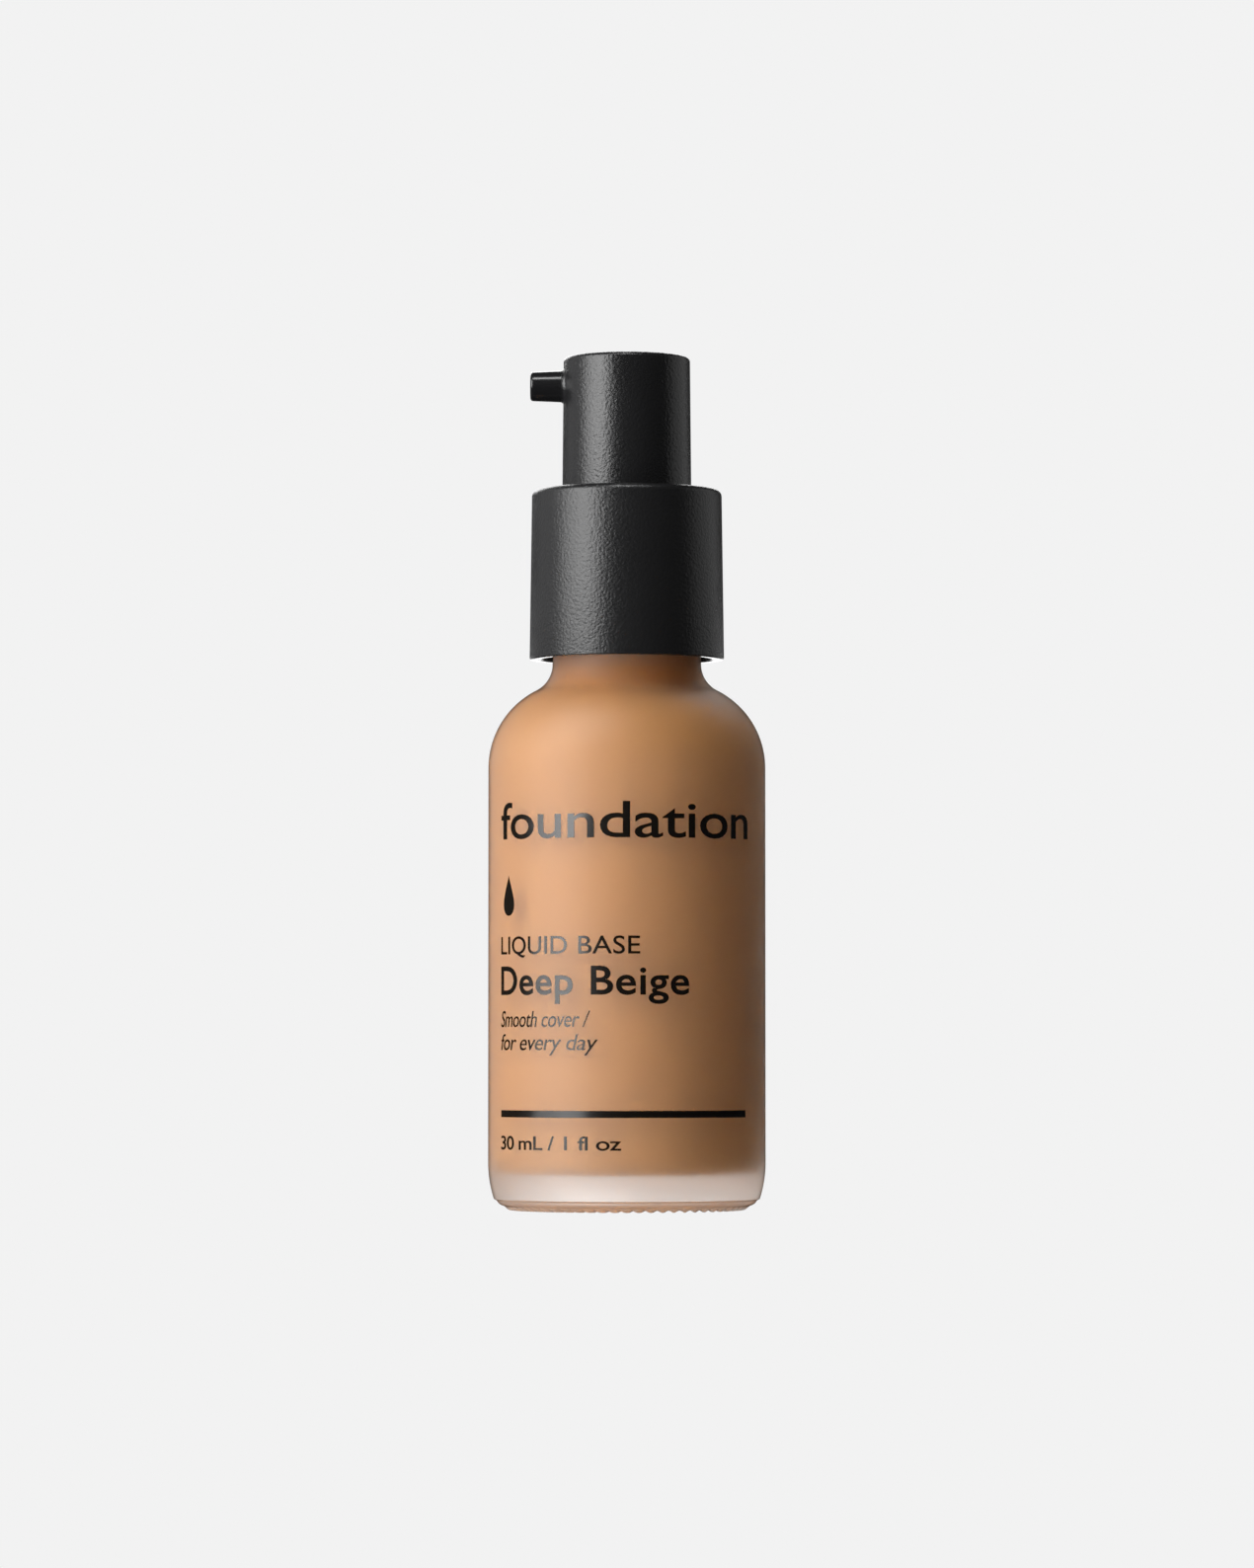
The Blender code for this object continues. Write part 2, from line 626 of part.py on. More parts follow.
def nozzle_shape(centre, outward):
    """Tapered spout with a rounded tip and a flared root, long enough to join the stem's socket."""
    up = Vector((0, 0, 1))
    tip_round = CHAMFER
    tip = arc((NOZZLE_TIP_RADIUS - tip_round, NOZZLE_REACH - tip_round), tip_round, 90.0, 0.0, 2)
    root = HEAD_TOP_RADIUS
    start = POST_RADIUS - HEAD_WALL
    outline = [(0.0, NOZZLE_REACH)] + tip
    outline += [
        (NOZZLE_ROOT_RADIUS, root + NOZZLE_FLARE),
        (NOZZLE_ROOT_RADIUS + NOZZLE_FLARE / 3, root + NOZZLE_FLARE / 3),
        (NOZZLE_ROOT_RADIUS + NOZZLE_FLARE, root - RUN_GAP),
        (NOZZLE_ROOT_RADIUS, root - NOZZLE_FLARE),
        (NOZZLE_ROOT_RADIUS, start),
        (0.0, start),
    ]
    return turned(outline, FINE, axis=outward, radial=up, centre=centre)


def actuator_head(frame):
    """Push-down cap with a socket for the stem and a side nozzle, bored through from socket to tip."""
    edge_centre = (HEAD_TOP_RADIUS - HEAD_EDGE, HEAD_TOP_Z - HEAD_EDGE)
    roof = HEAD_TOP_Z - HEAD_ROOF
    inside = HEAD_TOP_RADIUS - HEAD_WALL
    socket = STEM_RADIUS + RUN_GAP
    socket_mouth = RETAINER_TOP_Z + STROKE + GAP
    ball_top = ball_height(OUTLET_BALL_RADIUS, STEM_BORE, OUTLET_SEAT_Z) + OUTLET_BALL_RADIUS
    socket_end = max(STEM_TOP_Z + GAP, ball_top + VALVE_LIFT + BALL_GAP)
    bore_top = NOZZLE_Z + OUTLET_BORE
    outline = [(0.0, HEAD_TOP_Z)]
    outline += arc(edge_centre, HEAD_EDGE, 90.0, 0.0, 3)
    outline += [
        (HEAD_BASE_RADIUS, HEAD_BASE_Z),
        (HEAD_BASE_RADIUS - HEAD_WALL, HEAD_BASE_Z),
        (inside, roof - CHAMFER),
        (inside - CHAMFER, roof),
        (POST_RADIUS + CHAMFER, roof),
        (POST_RADIUS, roof - CHAMFER),
        (POST_RADIUS, socket_mouth),
        (socket + CHAMFER, socket_mouth),
        (socket, socket_mouth + CHAMFER),
        (socket, socket_end),
        (OUTLET_BORE, socket_end),
        (OUTLET_BORE, bore_top),
        (0.0, bore_top),
    ]
    piece = add_piece("actuator_head", turned(outline, ROUND), BLACK_PLASTIC, frame)
    centre = Vector((0, 0, NOZZLE_Z))
    outward = Vector((-1, 0, 0))
    combine(piece, nozzle_shape(centre, outward), "UNION")
    bore = OUTLET_BORE - BALL_GAP
    end = NOZZLE_REACH + CHAMFER
    passage = [(0.0, 0.0), (bore, 0.0), (bore, end), (0.0, end)]
    cutter = turned(passage, SMALL, axis=outward, radial=Vector((0, 0, 1)), centre=centre)
    combine(piece, cutter, "DIFFERENCE")


def build():
    """Builds every sub-part under the frame of the body that carries it."""
    clear_scene()
    bottle_frame = body_frame("bottle_frame", 0.0)
    glass_bottle(bottle_frame)
    foundation_fill(bottle_frame)

    pump_frame = body_frame("pump_frame", FLANGE_Z, bottle_frame)
    neck_gasket(pump_frame)
    pump_housing(pump_frame)
    dip_tube(pump_frame)
    ball_cage(pump_frame)
    stem_retainer(pump_frame)
    return_spring(pump_frame)

    closure(body_frame("closure_frame", COLLAR_BOTTOM_Z, pump_frame))

    inlet_z = ball_height(INLET_BALL_RADIUS, THROAT_RADIUS, SEAT_Z)
    inlet_frame = body_frame("inlet_frame", inlet_z, pump_frame)
    ball("inlet_ball", INLET_BALL_RADIUS, THROAT_RADIUS, SEAT_Z, inlet_frame)

    stem_frame = body_frame("stem_frame", STEM_Z, pump_frame)
    pump_stem(stem_frame)
    piston_rod(stem_frame)
    piston(body_frame("piston_frame", PISTON_Z, stem_frame))

    outlet_z = ball_height(OUTLET_BALL_RADIUS, STEM_BORE, OUTLET_SEAT_Z)
    outlet_frame = body_frame("outlet_frame", outlet_z, stem_frame)
    ball("outlet_ball", OUTLET_BALL_RADIUS, STEM_BORE, OUTLET_SEAT_Z, outlet_frame)

    actuator_head(body_frame("head_frame", HEAD_BASE_Z, stem_frame))


build()
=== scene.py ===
"""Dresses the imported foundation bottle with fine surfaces, finishes, a printed front and a soft studio.

Sizes in the classes are millimetres, and MM turns them into the frame's metres when a mesh is made.
The bottle stands on the XY plane with its axis on +Z, its print faces -Y and its nozzle points to -X.
"""

from __future__ import annotations

import json
import logging
import math
from collections.abc import Callable, Sequence
from dataclasses import dataclass, replace
from enum import Enum

import bmesh
import bpy
import numpy as np
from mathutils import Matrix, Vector

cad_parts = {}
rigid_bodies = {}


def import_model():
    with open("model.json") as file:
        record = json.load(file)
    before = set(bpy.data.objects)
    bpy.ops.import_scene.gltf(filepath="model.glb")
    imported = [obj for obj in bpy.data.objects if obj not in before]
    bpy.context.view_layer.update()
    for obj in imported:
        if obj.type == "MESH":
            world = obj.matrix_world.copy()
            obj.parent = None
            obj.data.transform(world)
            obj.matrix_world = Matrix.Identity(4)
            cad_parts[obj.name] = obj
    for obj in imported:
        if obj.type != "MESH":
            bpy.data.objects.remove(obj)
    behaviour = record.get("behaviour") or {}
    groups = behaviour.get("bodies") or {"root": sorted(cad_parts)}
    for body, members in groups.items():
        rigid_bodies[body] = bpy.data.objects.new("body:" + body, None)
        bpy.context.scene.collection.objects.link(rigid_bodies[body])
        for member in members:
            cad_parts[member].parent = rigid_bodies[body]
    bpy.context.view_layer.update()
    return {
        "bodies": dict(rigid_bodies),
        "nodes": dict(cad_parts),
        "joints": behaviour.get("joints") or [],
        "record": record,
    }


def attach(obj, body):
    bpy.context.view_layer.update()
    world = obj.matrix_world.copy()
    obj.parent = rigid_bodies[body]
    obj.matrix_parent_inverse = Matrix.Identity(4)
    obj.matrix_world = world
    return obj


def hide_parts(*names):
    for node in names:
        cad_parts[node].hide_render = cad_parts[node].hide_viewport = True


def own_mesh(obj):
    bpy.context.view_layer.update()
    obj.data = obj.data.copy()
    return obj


MM = 0.001
TAU = math.tau

Array = np.ndarray
Relief = Callable[[Array, Array, Array], tuple[Array, Array]]
Colour = tuple[float, float, float]

log = logging.getLogger("foundation_bottle")


class Body(Enum):
    """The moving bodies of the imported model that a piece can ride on."""

    BOTTLE = "bottle"
    PUMP_UNIT = "pump_unit"
    COLLAR = "collar"
    INLET_VALVE = "inlet_valve"
    STEM_UNIT = "stem_unit"
    PISTON_UNIT = "piston_unit"
    OUTLET_VALVE = "outlet_valve"
    HEAD = "head"


class Slot(Enum):
    """The material slots of the record."""

    FROSTED_GLASS = "frosted_glass"
    FOUNDATION = "foundation"
    COLLAR_BLACK = "collar_black"
    ACTUATOR_BLACK = "actuator_black"
    SEAL_WHITE = "seal_white"
    NATURAL_PLASTIC = "natural_plastic"
    TUBE_PLASTIC = "tube_plastic"
    SPRING_STEEL = "spring_steel"
    BALL_STEEL = "ball_steel"


# ---------------------------------------------------------------------------
# Outlines: rows of (radius, height) points
# ---------------------------------------------------------------------------


def arc(centre: tuple[float, float], radius: float, start: float, end: float, count: int) -> Array:
    """Points on a circle, (centre + radius cos t, centre + radius sin t).

    Args:
        centre: Centre as (radius, height).
        radius: Radius of the circle.
        start: First value of t, in degrees.
        end: Last value of t, in degrees.
        count: Number of points.

    Returns:
        The points, one a row.
    """
    t = np.radians(np.linspace(start, end, count))
    return np.column_stack((centre[0] + radius * np.cos(t), centre[1] + radius * np.sin(t)))


def line(start: tuple[float, float], end: tuple[float, float], count: int) -> Array:
    """Evenly spaced points on a straight line.

    Args:
        start: First point.
        end: Last point.
        count: Number of points.

    Returns:
        The points, one a row.
    """
    return np.linspace(start, end, count)


def joined(*parts: Array) -> Array:
    """Puts stretches of an outline end to end.

    Args:
        parts: The stretches, in order.

    Returns:
        One outline, in which no point repeats the one before it.
    """
    points = np.vstack(parts)
    step = np.linalg.norm(np.diff(points, axis=0), axis=1)
    return points[np.concatenate(([True], step > 1e-5))]


def rounded(corners: Sequence[tuple[float, float, float]], steps: int = 5) -> Array:
    """An outline of straight sides with an arc at each corner.

    Where the sides leave a corner along unit vectors u and v, 2 h apart in angle, a fillet of radius f
    touches them f / tan h from the corner, and its centre is f / sin h away along u + v.

    Args:
        corners: Each corner as (radius, height, fillet). A fillet of 0 leaves the corner sharp.
        steps: Number of sides that stand for an arc.

    Returns:
        The outline, not repeating its first point.
    """
    table = np.array(corners, dtype=float)
    corner, fillet = table[:, :2], table[:, 2:]
    before = np.roll(corner, 1, axis=0) - corner
    after = np.roll(corner, -1, axis=0) - corner
    before /= np.linalg.norm(before, axis=1, keepdims=True)
    after /= np.linalg.norm(after, axis=1, keepdims=True)
    half = np.arccos(np.clip((before * after).sum(axis=1, keepdims=True), -0.99999, 0.99999)) / 2
    middle = before + after
    middle /= np.maximum(np.linalg.norm(middle, axis=1, keepdims=True), 1e-9)
    centre = corner + middle * fillet / np.sin(half)
    first = corner + before * fillet / np.tan(half) - centre
    last = corner + after * fillet / np.tan(half) - centre
    sweep = np.pi - 2 * half
    share = np.linspace(0.0, 1.0, steps + 1)[None, :, None]
    turn = sweep[:, None, :]
    weight_first = np.sin((1 - share) * turn) / np.sin(turn)
    weight_last = np.sin(share * turn) / np.sin(turn)
    points = centre[:, None] + first[:, None] * weight_first + last[:, None] * weight_last
    return joined(points.reshape(-1, 2))


def shoulder_curve(
    wall: float, start: float, convex: float, concave: float, neck: float, count: int
) -> Array:
    """The bottle's S curve: an arc that leaves the wall upright, then one that meets the neck upright.

    The two arcs touch where the line between their centres crosses them, so the curve has no corner.

    Args:
        wall: Radius of the wall.
        start: Height at which the wall ends.
        convex: Radius of the lower arc.
        concave: Radius of the upper arc.
        neck: Radius of the neck.
        count: Number of points on the lower arc; the upper one has half as many.

    Returns:
        The curve, from the wall up to the neck.
    """
    across = neck + concave - (wall - convex)
    rise = math.sqrt((convex + concave) ** 2 - across**2)
    meet = math.degrees(math.atan2(rise, across))
    lower = arc((wall - convex, start), convex, 0.0, meet, count)
    upper = arc((neck + concave, start + rise), concave, meet + 180.0, 180.0, count // 2)
    return joined(lower, upper)


def grey(tone: float) -> tuple[float, float, float, float]:
    """An even grey of full cover."""
    return tone, tone, tone, 1.0


def smooth(value: Array) -> Array:
    """Eases a share from 0 to 1: 3 v^2 - 2 v^3, held at 0 and 1 outside that range."""
    held = np.clip(value, 0.0, 1.0)
    return held * held * (3 - 2 * held)


# ---------------------------------------------------------------------------
# Surfaces
# ---------------------------------------------------------------------------


@dataclass(frozen=True)
class Surface:
    """A closed mesh as arrays: points in millimetres, and faces of four and of three point numbers."""

    points: Array
    quads: Array
    triangles: Array

    def volume(self) -> float:
        """Signed volume: a sixth of the sum of a . (b x c) over the triangles (a, b, c).

        Returns:
            The volume, in cubic millimetres.
        """
        halves = [self.quads[:, [0, 1, 2]], self.quads[:, [0, 2, 3]], self.triangles]
        corners = self.points[np.vstack(halves)]
        return float(np.einsum("ij,ij->", corners[:, 0], np.cross(corners[:, 1], corners[:, 2])) / 6)

    def outward(self) -> Surface:
        """The same surface with its faces turned outwards."""
        if self.volume() > 0:
            return self
        return replace(self, quads=self.quads[:, ::-1], triangles=self.triangles[:, ::-1])

    def __add__(self, other: Surface) -> Surface:
        """Both surfaces as one mesh."""
        shift = len(self.points)
        return Surface(
            np.vstack((self.points, other.points)),
            np.vstack((self.quads, other.quads + shift)),
            np.vstack((self.triangles, other.triangles + shift)),
        )


def ringed(grid: Array, poles: Array | None = None) -> Surface:
    """Joins rings of points, each closed on itself, into one closed surface.

    Args:
        grid: Points as rings x columns x 3.
        poles: The two points that the first and the last ring close on, or None where the last ring
            joins the first.

    Returns:
        The surface, facing outwards.
    """
    rings, columns = grid.shape[:2]
    number = np.arange(rings * columns).reshape(rings, columns)
    points = grid.reshape(-1, 3)
    triangles = np.empty((0, 3), dtype=int)
    if poles is None:
        number = np.vstack((number, number[:1]))
    ahead = np.roll(number, -1, axis=1)
    quads = np.stack((number[:-1], ahead[:-1], ahead[1:], number[1:]), axis=-1).reshape(-1, 4)
    if poles is not None:
        points = np.vstack((points, poles))
        low = np.full(columns, rings * columns)
        first = np.column_stack((low, ahead[0], number[0]))
        last = np.column_stack((low + 1, number[-1], ahead[-1]))
        triangles = np.vstack((first, last))
    return Surface(points, quads, triangles).outward()


def turned(outline: Array, segments: int, relief: Relief | None = None) -> Surface:
    """Carries an outline round the upright axis: a point is (r cos a, r sin a, h).

    Args:
        outline: Points (r, h). It closes on itself, or starts and ends on the axis.
        segments: Number of columns in a full turn.
        relief: Moves the grid's radii and heights: it gets (a, r, h) and returns (r, h).

    Returns:
        The closed surface.
    """
    angle = np.arange(segments) * TAU / segments
    off_axis = outline[:, 0] > 1e-6
    rim = outline[off_axis]
    radius, turn = np.meshgrid(rim[:, 0], angle, indexing="ij")
    height = np.repeat(rim[:, 1:], segments, axis=1)
    if relief:
        radius, height = relief(turn, radius, height)
    grid = np.stack((radius * np.cos(turn), radius * np.sin(turn), height), axis=-1)
    if off_axis.all():
        return ringed(grid)
    ends = outline[~off_axis][:, 1]
    return ringed(grid, np.array([(0.0, 0.0, ends[0]), (0.0, 0.0, ends[-1])]))


def swept(path: Array, across: Array, radius: float, sides: int) -> Surface:
    """A round wire along a path: c + radius (n cos b + m sin b), with m square to n and to the path.

    Args:
        path: Points c of the wire's middle line.
        across: Unit vectors n, square to the path, one for each point.
        radius: Radius of the wire.
        sides: Number of columns round it.

    Returns:
        The wire, closed at both ends.
    """
    along = np.gradient(path, axis=0)
    along /= np.linalg.norm(along, axis=1, keepdims=True)
    square = np.cross(along, across)
    turn = (np.arange(sides) * TAU / sides)[None, :, None]
    grid = path[:, None] + radius * (across[:, None] * np.cos(turn) + square[:, None] * np.sin(turn))
    return ringed(grid, path[[0, -1]])


def shown(
    name: str, surface: Surface, finish: bpy.types.Material, body: Body, slot: Slot, *nodes: str
) -> bpy.types.Object:
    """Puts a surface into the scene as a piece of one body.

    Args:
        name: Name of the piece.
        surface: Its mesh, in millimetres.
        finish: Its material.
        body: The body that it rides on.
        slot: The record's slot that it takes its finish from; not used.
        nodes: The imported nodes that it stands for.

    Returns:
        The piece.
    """
    mesh = bpy.data.meshes.new(name)
    mesh.from_pydata(surface.points * MM, [], surface.quads.tolist() + surface.triangles.tolist())
    mesh.shade_smooth()
    mesh.set_sharp_from_angle(angle=math.radians(38.0))
    mesh.materials.append(finish)
    return settled(bpy.data.objects.new(name, mesh), body, slot, *nodes)


def settled(piece: bpy.types.Object, body: Body, slot: Slot, *nodes: str) -> bpy.types.Object:
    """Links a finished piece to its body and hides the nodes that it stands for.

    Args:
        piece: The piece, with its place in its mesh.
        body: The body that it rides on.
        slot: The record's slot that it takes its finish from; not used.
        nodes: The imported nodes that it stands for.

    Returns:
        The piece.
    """
    if piece.name not in bpy.context.collection.objects:
        bpy.context.collection.objects.link(piece)
    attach(piece, body.value)
    if nodes:
        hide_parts(*nodes)
    log.info("%s: %d faces on %s", piece.name, len(piece.data.polygons), body.value)
    return piece


# ---------------------------------------------------------------------------
# Finishes
# ---------------------------------------------------------------------------


class Nodes:
    """A node tree under construction."""

    def __init__(self, tree: bpy.types.NodeTree) -> None:
        """Takes the tree that nodes are added to."""
        self.tree = tree

    def add(self, kind: str, **sockets: object) -> bpy.types.Node:
        """Adds a node.

        Args:
            kind: Type of the node.
            sockets: Values or links for its inputs, by the input's name with _ for a space. A name that
                is a property of the node sets that property.

        Returns:
            The node.
        """
        node = self.tree.nodes.new(kind)
        for name, value in sockets.items():
            if hasattr(node, name):
                setattr(node, name, value)
        for name, value in sockets.items():
            if not hasattr(node, name):
                self.feed(node.inputs[name.replace("_", " ")], value)
        return node

    def feed(self, socket: bpy.types.NodeSocket, value: object) -> None:
        """Links a socket to another node's output, or sets its value."""
        if isinstance(value, bpy.types.NodeSocket):
            self.tree.links.new(value, socket)
        else:
            socket.default_value = value

    def blend(self, share: object, low: object, high: object) -> bpy.types.NodeSocket:
        """Mixes two colours.

        Args:
            share: 0 for the low colour, 1 for the high one.
            low: Colour or link.
            high: Colour or link.

        Returns:
            The mixed colour.
        """
        node = self.tree.nodes.new("ShaderNodeMix")
        node.data_type = "RGBA"
        self.feed(node.inputs[0], share)
        self.feed(node.inputs[6], low)
        self.feed(node.inputs[7], high)
        return node.outputs[2]

    def between(self, share: object, low: object, high: object) -> bpy.types.NodeSocket:
        """Mixes two numbers: low where the share is 0, high where it is 1.

        Args:
            share: Link or number from 0 to 1.
            low: Number or link.
            high: Number or link.

        Returns:
            The mixed number.
        """
        node = self.add("ShaderNodeMix", Factor=share)
        self.feed(node.inputs[2], low)
        self.feed(node.inputs[3], high)
        return node.outputs[0]

    def spread(self, value: object, low: object, high: object) -> bpy.types.NodeSocket:
        """Takes a value from 0...1 to low...high."""
        node = self.add("ShaderNodeMapRange", Value=value, To_Min=low, To_Max=high)
        return node.outputs["Result"]


class Effects:
    """Shader node groups that several finishes share. Each is built once, when it is first asked for."""

    made: dict[str, bpy.types.NodeTree] = {}

    @classmethod
    def group(cls, name: str, inputs: dict[str, float], outputs: Sequence[str]) -> tuple[Nodes, dict]:
        """Starts a node group with number sockets.

        Args:
            name: Name of the group.
            inputs: Default value of each input.
            outputs: Names of the outputs.

        Returns:
            The group's nodes, and its input sockets by name with "end" for its output node.
        """
        tree = bpy.data.node_groups.new(name, "ShaderNodeTree")
        for label, value in inputs.items():
            socket = tree.interface.new_socket(label, in_out="INPUT", socket_type="NodeSocketFloat")
            socket.default_value = value
        for label in outputs:
            tree.interface.new_socket(label, in_out="OUTPUT", socket_type="NodeSocketFloat")
        cls.made[name] = tree
        nodes = Nodes(tree)
        start = nodes.add("NodeGroupInput")
        ends = {label: start.outputs[label] for label in inputs}
        ends["end"] = nodes.add("NodeGroupOutput")
        return nodes, ends

    @classmethod
    def place(cls, nodes: Nodes, name: str, **values: float) -> bpy.types.Node:
        """Places an effect in a material.

        Args:
            nodes: The material's nodes.
            name: grain or marks.
            values: Values for the effect's inputs.

        Returns:
            The group node.
        """
        if name not in cls.made:
            getattr(cls, name)()
        node = nodes.add("ShaderNodeGroup", node_tree=cls.made[name])
        for label, value in values.items():
            nodes.feed(node.inputs[label], value)
        return node

    @classmethod
    def grain(cls) -> None:
        """Fine moulded or etched grain: two noises, one finer, and pits between the cells."""
        nodes, ends = cls.group("grain", {"Size": 0.2, "Pits": 0.3}, ("Height", "Mask"))
        place = nodes.add("ShaderNodeTexCoord").outputs["Object"]
        scale = nodes.add("ShaderNodeMath", operation="DIVIDE")
        nodes.feed(scale.inputs[0], 1.0 / MM)
        nodes.feed(scale.inputs[1], ends["Size"])
        fine = nodes.add("ShaderNodeTexNoise", Vector=place, Scale=scale.outputs[0], Detail=2.0)
        cells = nodes.add("ShaderNodeTexVoronoi", Vector=place, Scale=scale.outputs[0])
        height = nodes.add("ShaderNodeMix", Factor=ends["Pits"])
        nodes.feed(height.inputs[2], fine.outputs[0])
        nodes.feed(height.inputs[3], cells.outputs["Distance"])
        nodes.feed(ends["end"].inputs["Height"], height.outputs[0])
        nodes.feed(ends["end"].inputs["Mask"], fine.outputs[0])

    @classmethod
    def marks(cls) -> None:
        """Slow, soft patches from handling and from the mould: a warped noise over centimetres."""
        nodes, ends = cls.group("marks", {"Size": 8.0, "Warp": 0.6}, ("Value",))
        place = nodes.add("ShaderNodeTexCoord").outputs["Object"]
        scale = nodes.add("ShaderNodeMath", operation="DIVIDE")
        nodes.feed(scale.inputs[0], 1.0 / MM)
        nodes.feed(scale.inputs[1], ends["Size"])
        soft = nodes.add(
            "ShaderNodeTexNoise", Vector=place, Scale=scale.outputs[0], Detail=3.0, Distortion=ends["Warp"]
        )
        nodes.feed(ends["end"].inputs["Value"], soft.outputs[0])


class Shader(Nodes):
    """A Principled material under construction."""

    def __init__(self, name: str) -> None:
        """Makes the material and keeps hold of its shader.

        Args:
            name: Name of the material.
        """
        self.material = bpy.data.materials.new(name)
        self.material.use_nodes = True
        super().__init__(self.material.node_tree)
        self.shader = self.tree.nodes["Principled BSDF"]

    def set(self, **sockets: object) -> None:
        """Sets or links inputs of the Principled shader, by name with _ for a space."""
        for name, value in sockets.items():
            self.feed(self.shader.inputs[name.replace("_", " ")], value)

    def bump(self, height: object, strength: float, depth: float) -> bpy.types.NodeSocket:
        """A bumped normal.

        Args:
            height: Link to the height, from 0 to 1.
            strength: Share of the effect.
            depth: Depth of the relief in millimetres.

        Returns:
            The normal.
        """
        node = self.add("ShaderNodeBump", Strength=strength, Distance=depth * MM, Height=height)
        return node.outputs["Normal"]


@dataclass(frozen=True)
class MouldedPlastic:
    """Injection-moulded plastic with a fine textured surface and faint handling patches."""

    name: str
    colour: Colour
    worn: Colour
    smoothest: float
    roughest: float
    patch: float = 9.0
    grain: float = 0.34
    pits: float = 0.12
    depth: float = 0.11
    strength: float = 0.6
    glow: float = 0.0
    polish_axis: str = ""
    polish_end: float = 0.0
    polished: float = 0.16

    def made(self) -> bpy.types.Material:
        """The material: patches shift its colour and roughness, and grain bumps it.

        Where the mould is polished, from polish_end down the named axis, the roughness is even and low.

        Returns:
            The material.
        """
        shader = Shader(self.name)
        patches = Effects.place(shader, "marks", Size=self.patch).outputs["Value"]
        grain = Effects.place(shader, "grain", Size=self.grain, Pits=self.pits)
        roughness = shader.spread(patches, self.smoothest, self.roughest)
        height = grain.outputs["Height"]
        if self.polish_axis:
            place = shader.add("ShaderNodeTexCoord").outputs["Object"]
            split = shader.add("ShaderNodeSeparateXYZ", Vector=place).outputs[self.polish_axis]
            mask = shader.add("ShaderNodeMath", operation="LESS_THAN")
            shader.feed(mask.inputs[0], split)
            shader.feed(mask.inputs[1], self.polish_end * MM)
            roughness = shader.between(mask.outputs[0], roughness, self.polished)
            height = shader.between(mask.outputs[0], height, 0.5)
        shader.set(
            Base_Color=shader.blend(patches, (*self.colour, 1.0), (*self.worn, 1.0)),
            Roughness=roughness,
            Normal=shader.bump(height, self.strength, self.depth),
            IOR=1.5,
            Subsurface_Weight=self.glow,
            Subsurface_Scale=0.001,
        )
        return shader.material


@dataclass(frozen=True)
class FrostedGlass:
    """Clear glass whose outside is etched with acid, so that it blurs what is behind it."""

    name: str = "frosted_glass"
    clear: Colour = (0.985, 0.975, 0.965)
    # painted shade: the dark brown that the glass is painted at its silhouette
    rim: Colour = (0.16, 0.10, 0.06)
    smoothest: float = 0.44
    roughest: float = 0.52
    painted_shade_rim_start: float = 0.76
    painted_shade_rim_end: float = 0.94
    passed: float = 0.965

    def made(self) -> bpy.types.Material:
        """The material: refracting, with a fine etched grain and slow changes in its roughness.

        Towards its silhouette the facing angle blends the glass's colour to a dark brown: a painted dark
        outline, painted shade.

        Returns:
            The material.
        """
        shader = Shader(self.name)
        patches = Effects.place(shader, "marks", Size=14.0, Warp=0.3).outputs["Value"]
        grain = Effects.place(shader, "grain", Size=0.22, Pits=0.15)
        # Painted shade: by the facing angle the base colour turns to the dark rim colour towards the
        # silhouette, a painted dark outline.
        facing = shader.add("ShaderNodeLayerWeight", Blend=0.5).outputs["Facing"]
        edge = shader.add(
            "ShaderNodeMapRange", Value=facing, From_Min=self.painted_shade_rim_start, From_Max=self.painted_shade_rim_end,
            interpolation_type="SMOOTHSTEP",
        )
        shader.set(
            Base_Color=shader.blend(edge.outputs["Result"], (*self.clear, 1.0), (*self.rim, 1.0)),
            Roughness=shader.spread(patches, self.smoothest, self.roughest),
            Normal=shader.bump(grain.outputs["Height"], 0.25, 0.008),
            IOR=1.5,
            Transmission_Weight=self.passed,
        )
        return shader.material


@dataclass(frozen=True)
class Foundation:
    """Opaque skin-coloured cream, with slow drifts of pigment that settled while it was filled."""

    name: str = "foundation_cream"
    light: Colour = (0.75, 0.345, 0.082)
    deep: Colour = (0.68, 0.30, 0.064)

    def made(self) -> bpy.types.Material:
        """The material: two near tones mixed by soft drifts, on a slightly uneven surface.

        Returns:
            The material.
        """
        shader = Shader(self.name)
        drifts = Effects.place(shader, "marks", Size=11.0, Warp=1.4).outputs["Value"]
        pigment = Effects.place(shader, "grain", Size=0.5, Pits=0.0)
        shader.set(
            Base_Color=shader.blend(drifts, (*self.deep, 1.0), (*self.light, 1.0)),
            Roughness=shader.spread(pigment.outputs["Mask"], 0.45, 0.6),
            Normal=shader.bump(drifts, 0.2, 0.05),
            IOR=1.45,
            Specular_IOR_Level=0.15,
        )
        return shader.material


@dataclass(frozen=True)
class Ink:
    """Screen-printed ceramic ink, a glossy brown-black film."""

    name: str = "screen_ink"
    thin: Colour = (0.004, 0.003, 0.002)
    thick: Colour = (0.007, 0.005, 0.003)

    def made(self) -> bpy.types.Material:
        """The material: near black, with the mesh of the screen as a faint orange peel.

        Returns:
            The material.
        """
        shader = Shader(self.name)
        patches = Effects.place(shader, "marks", Size=2.0).outputs["Value"]
        grain = Effects.place(shader, "grain", Size=0.12, Pits=0.0)
        shader.set(
            Base_Color=shader.blend(patches, (*self.thin, 1.0), (*self.thick, 1.0)),
            Roughness=shader.spread(patches, 0.18, 0.26),
            Normal=shader.bump(grain.outputs["Height"], 0.3, 0.006),
            IOR=1.52,
        )
        return shader.material


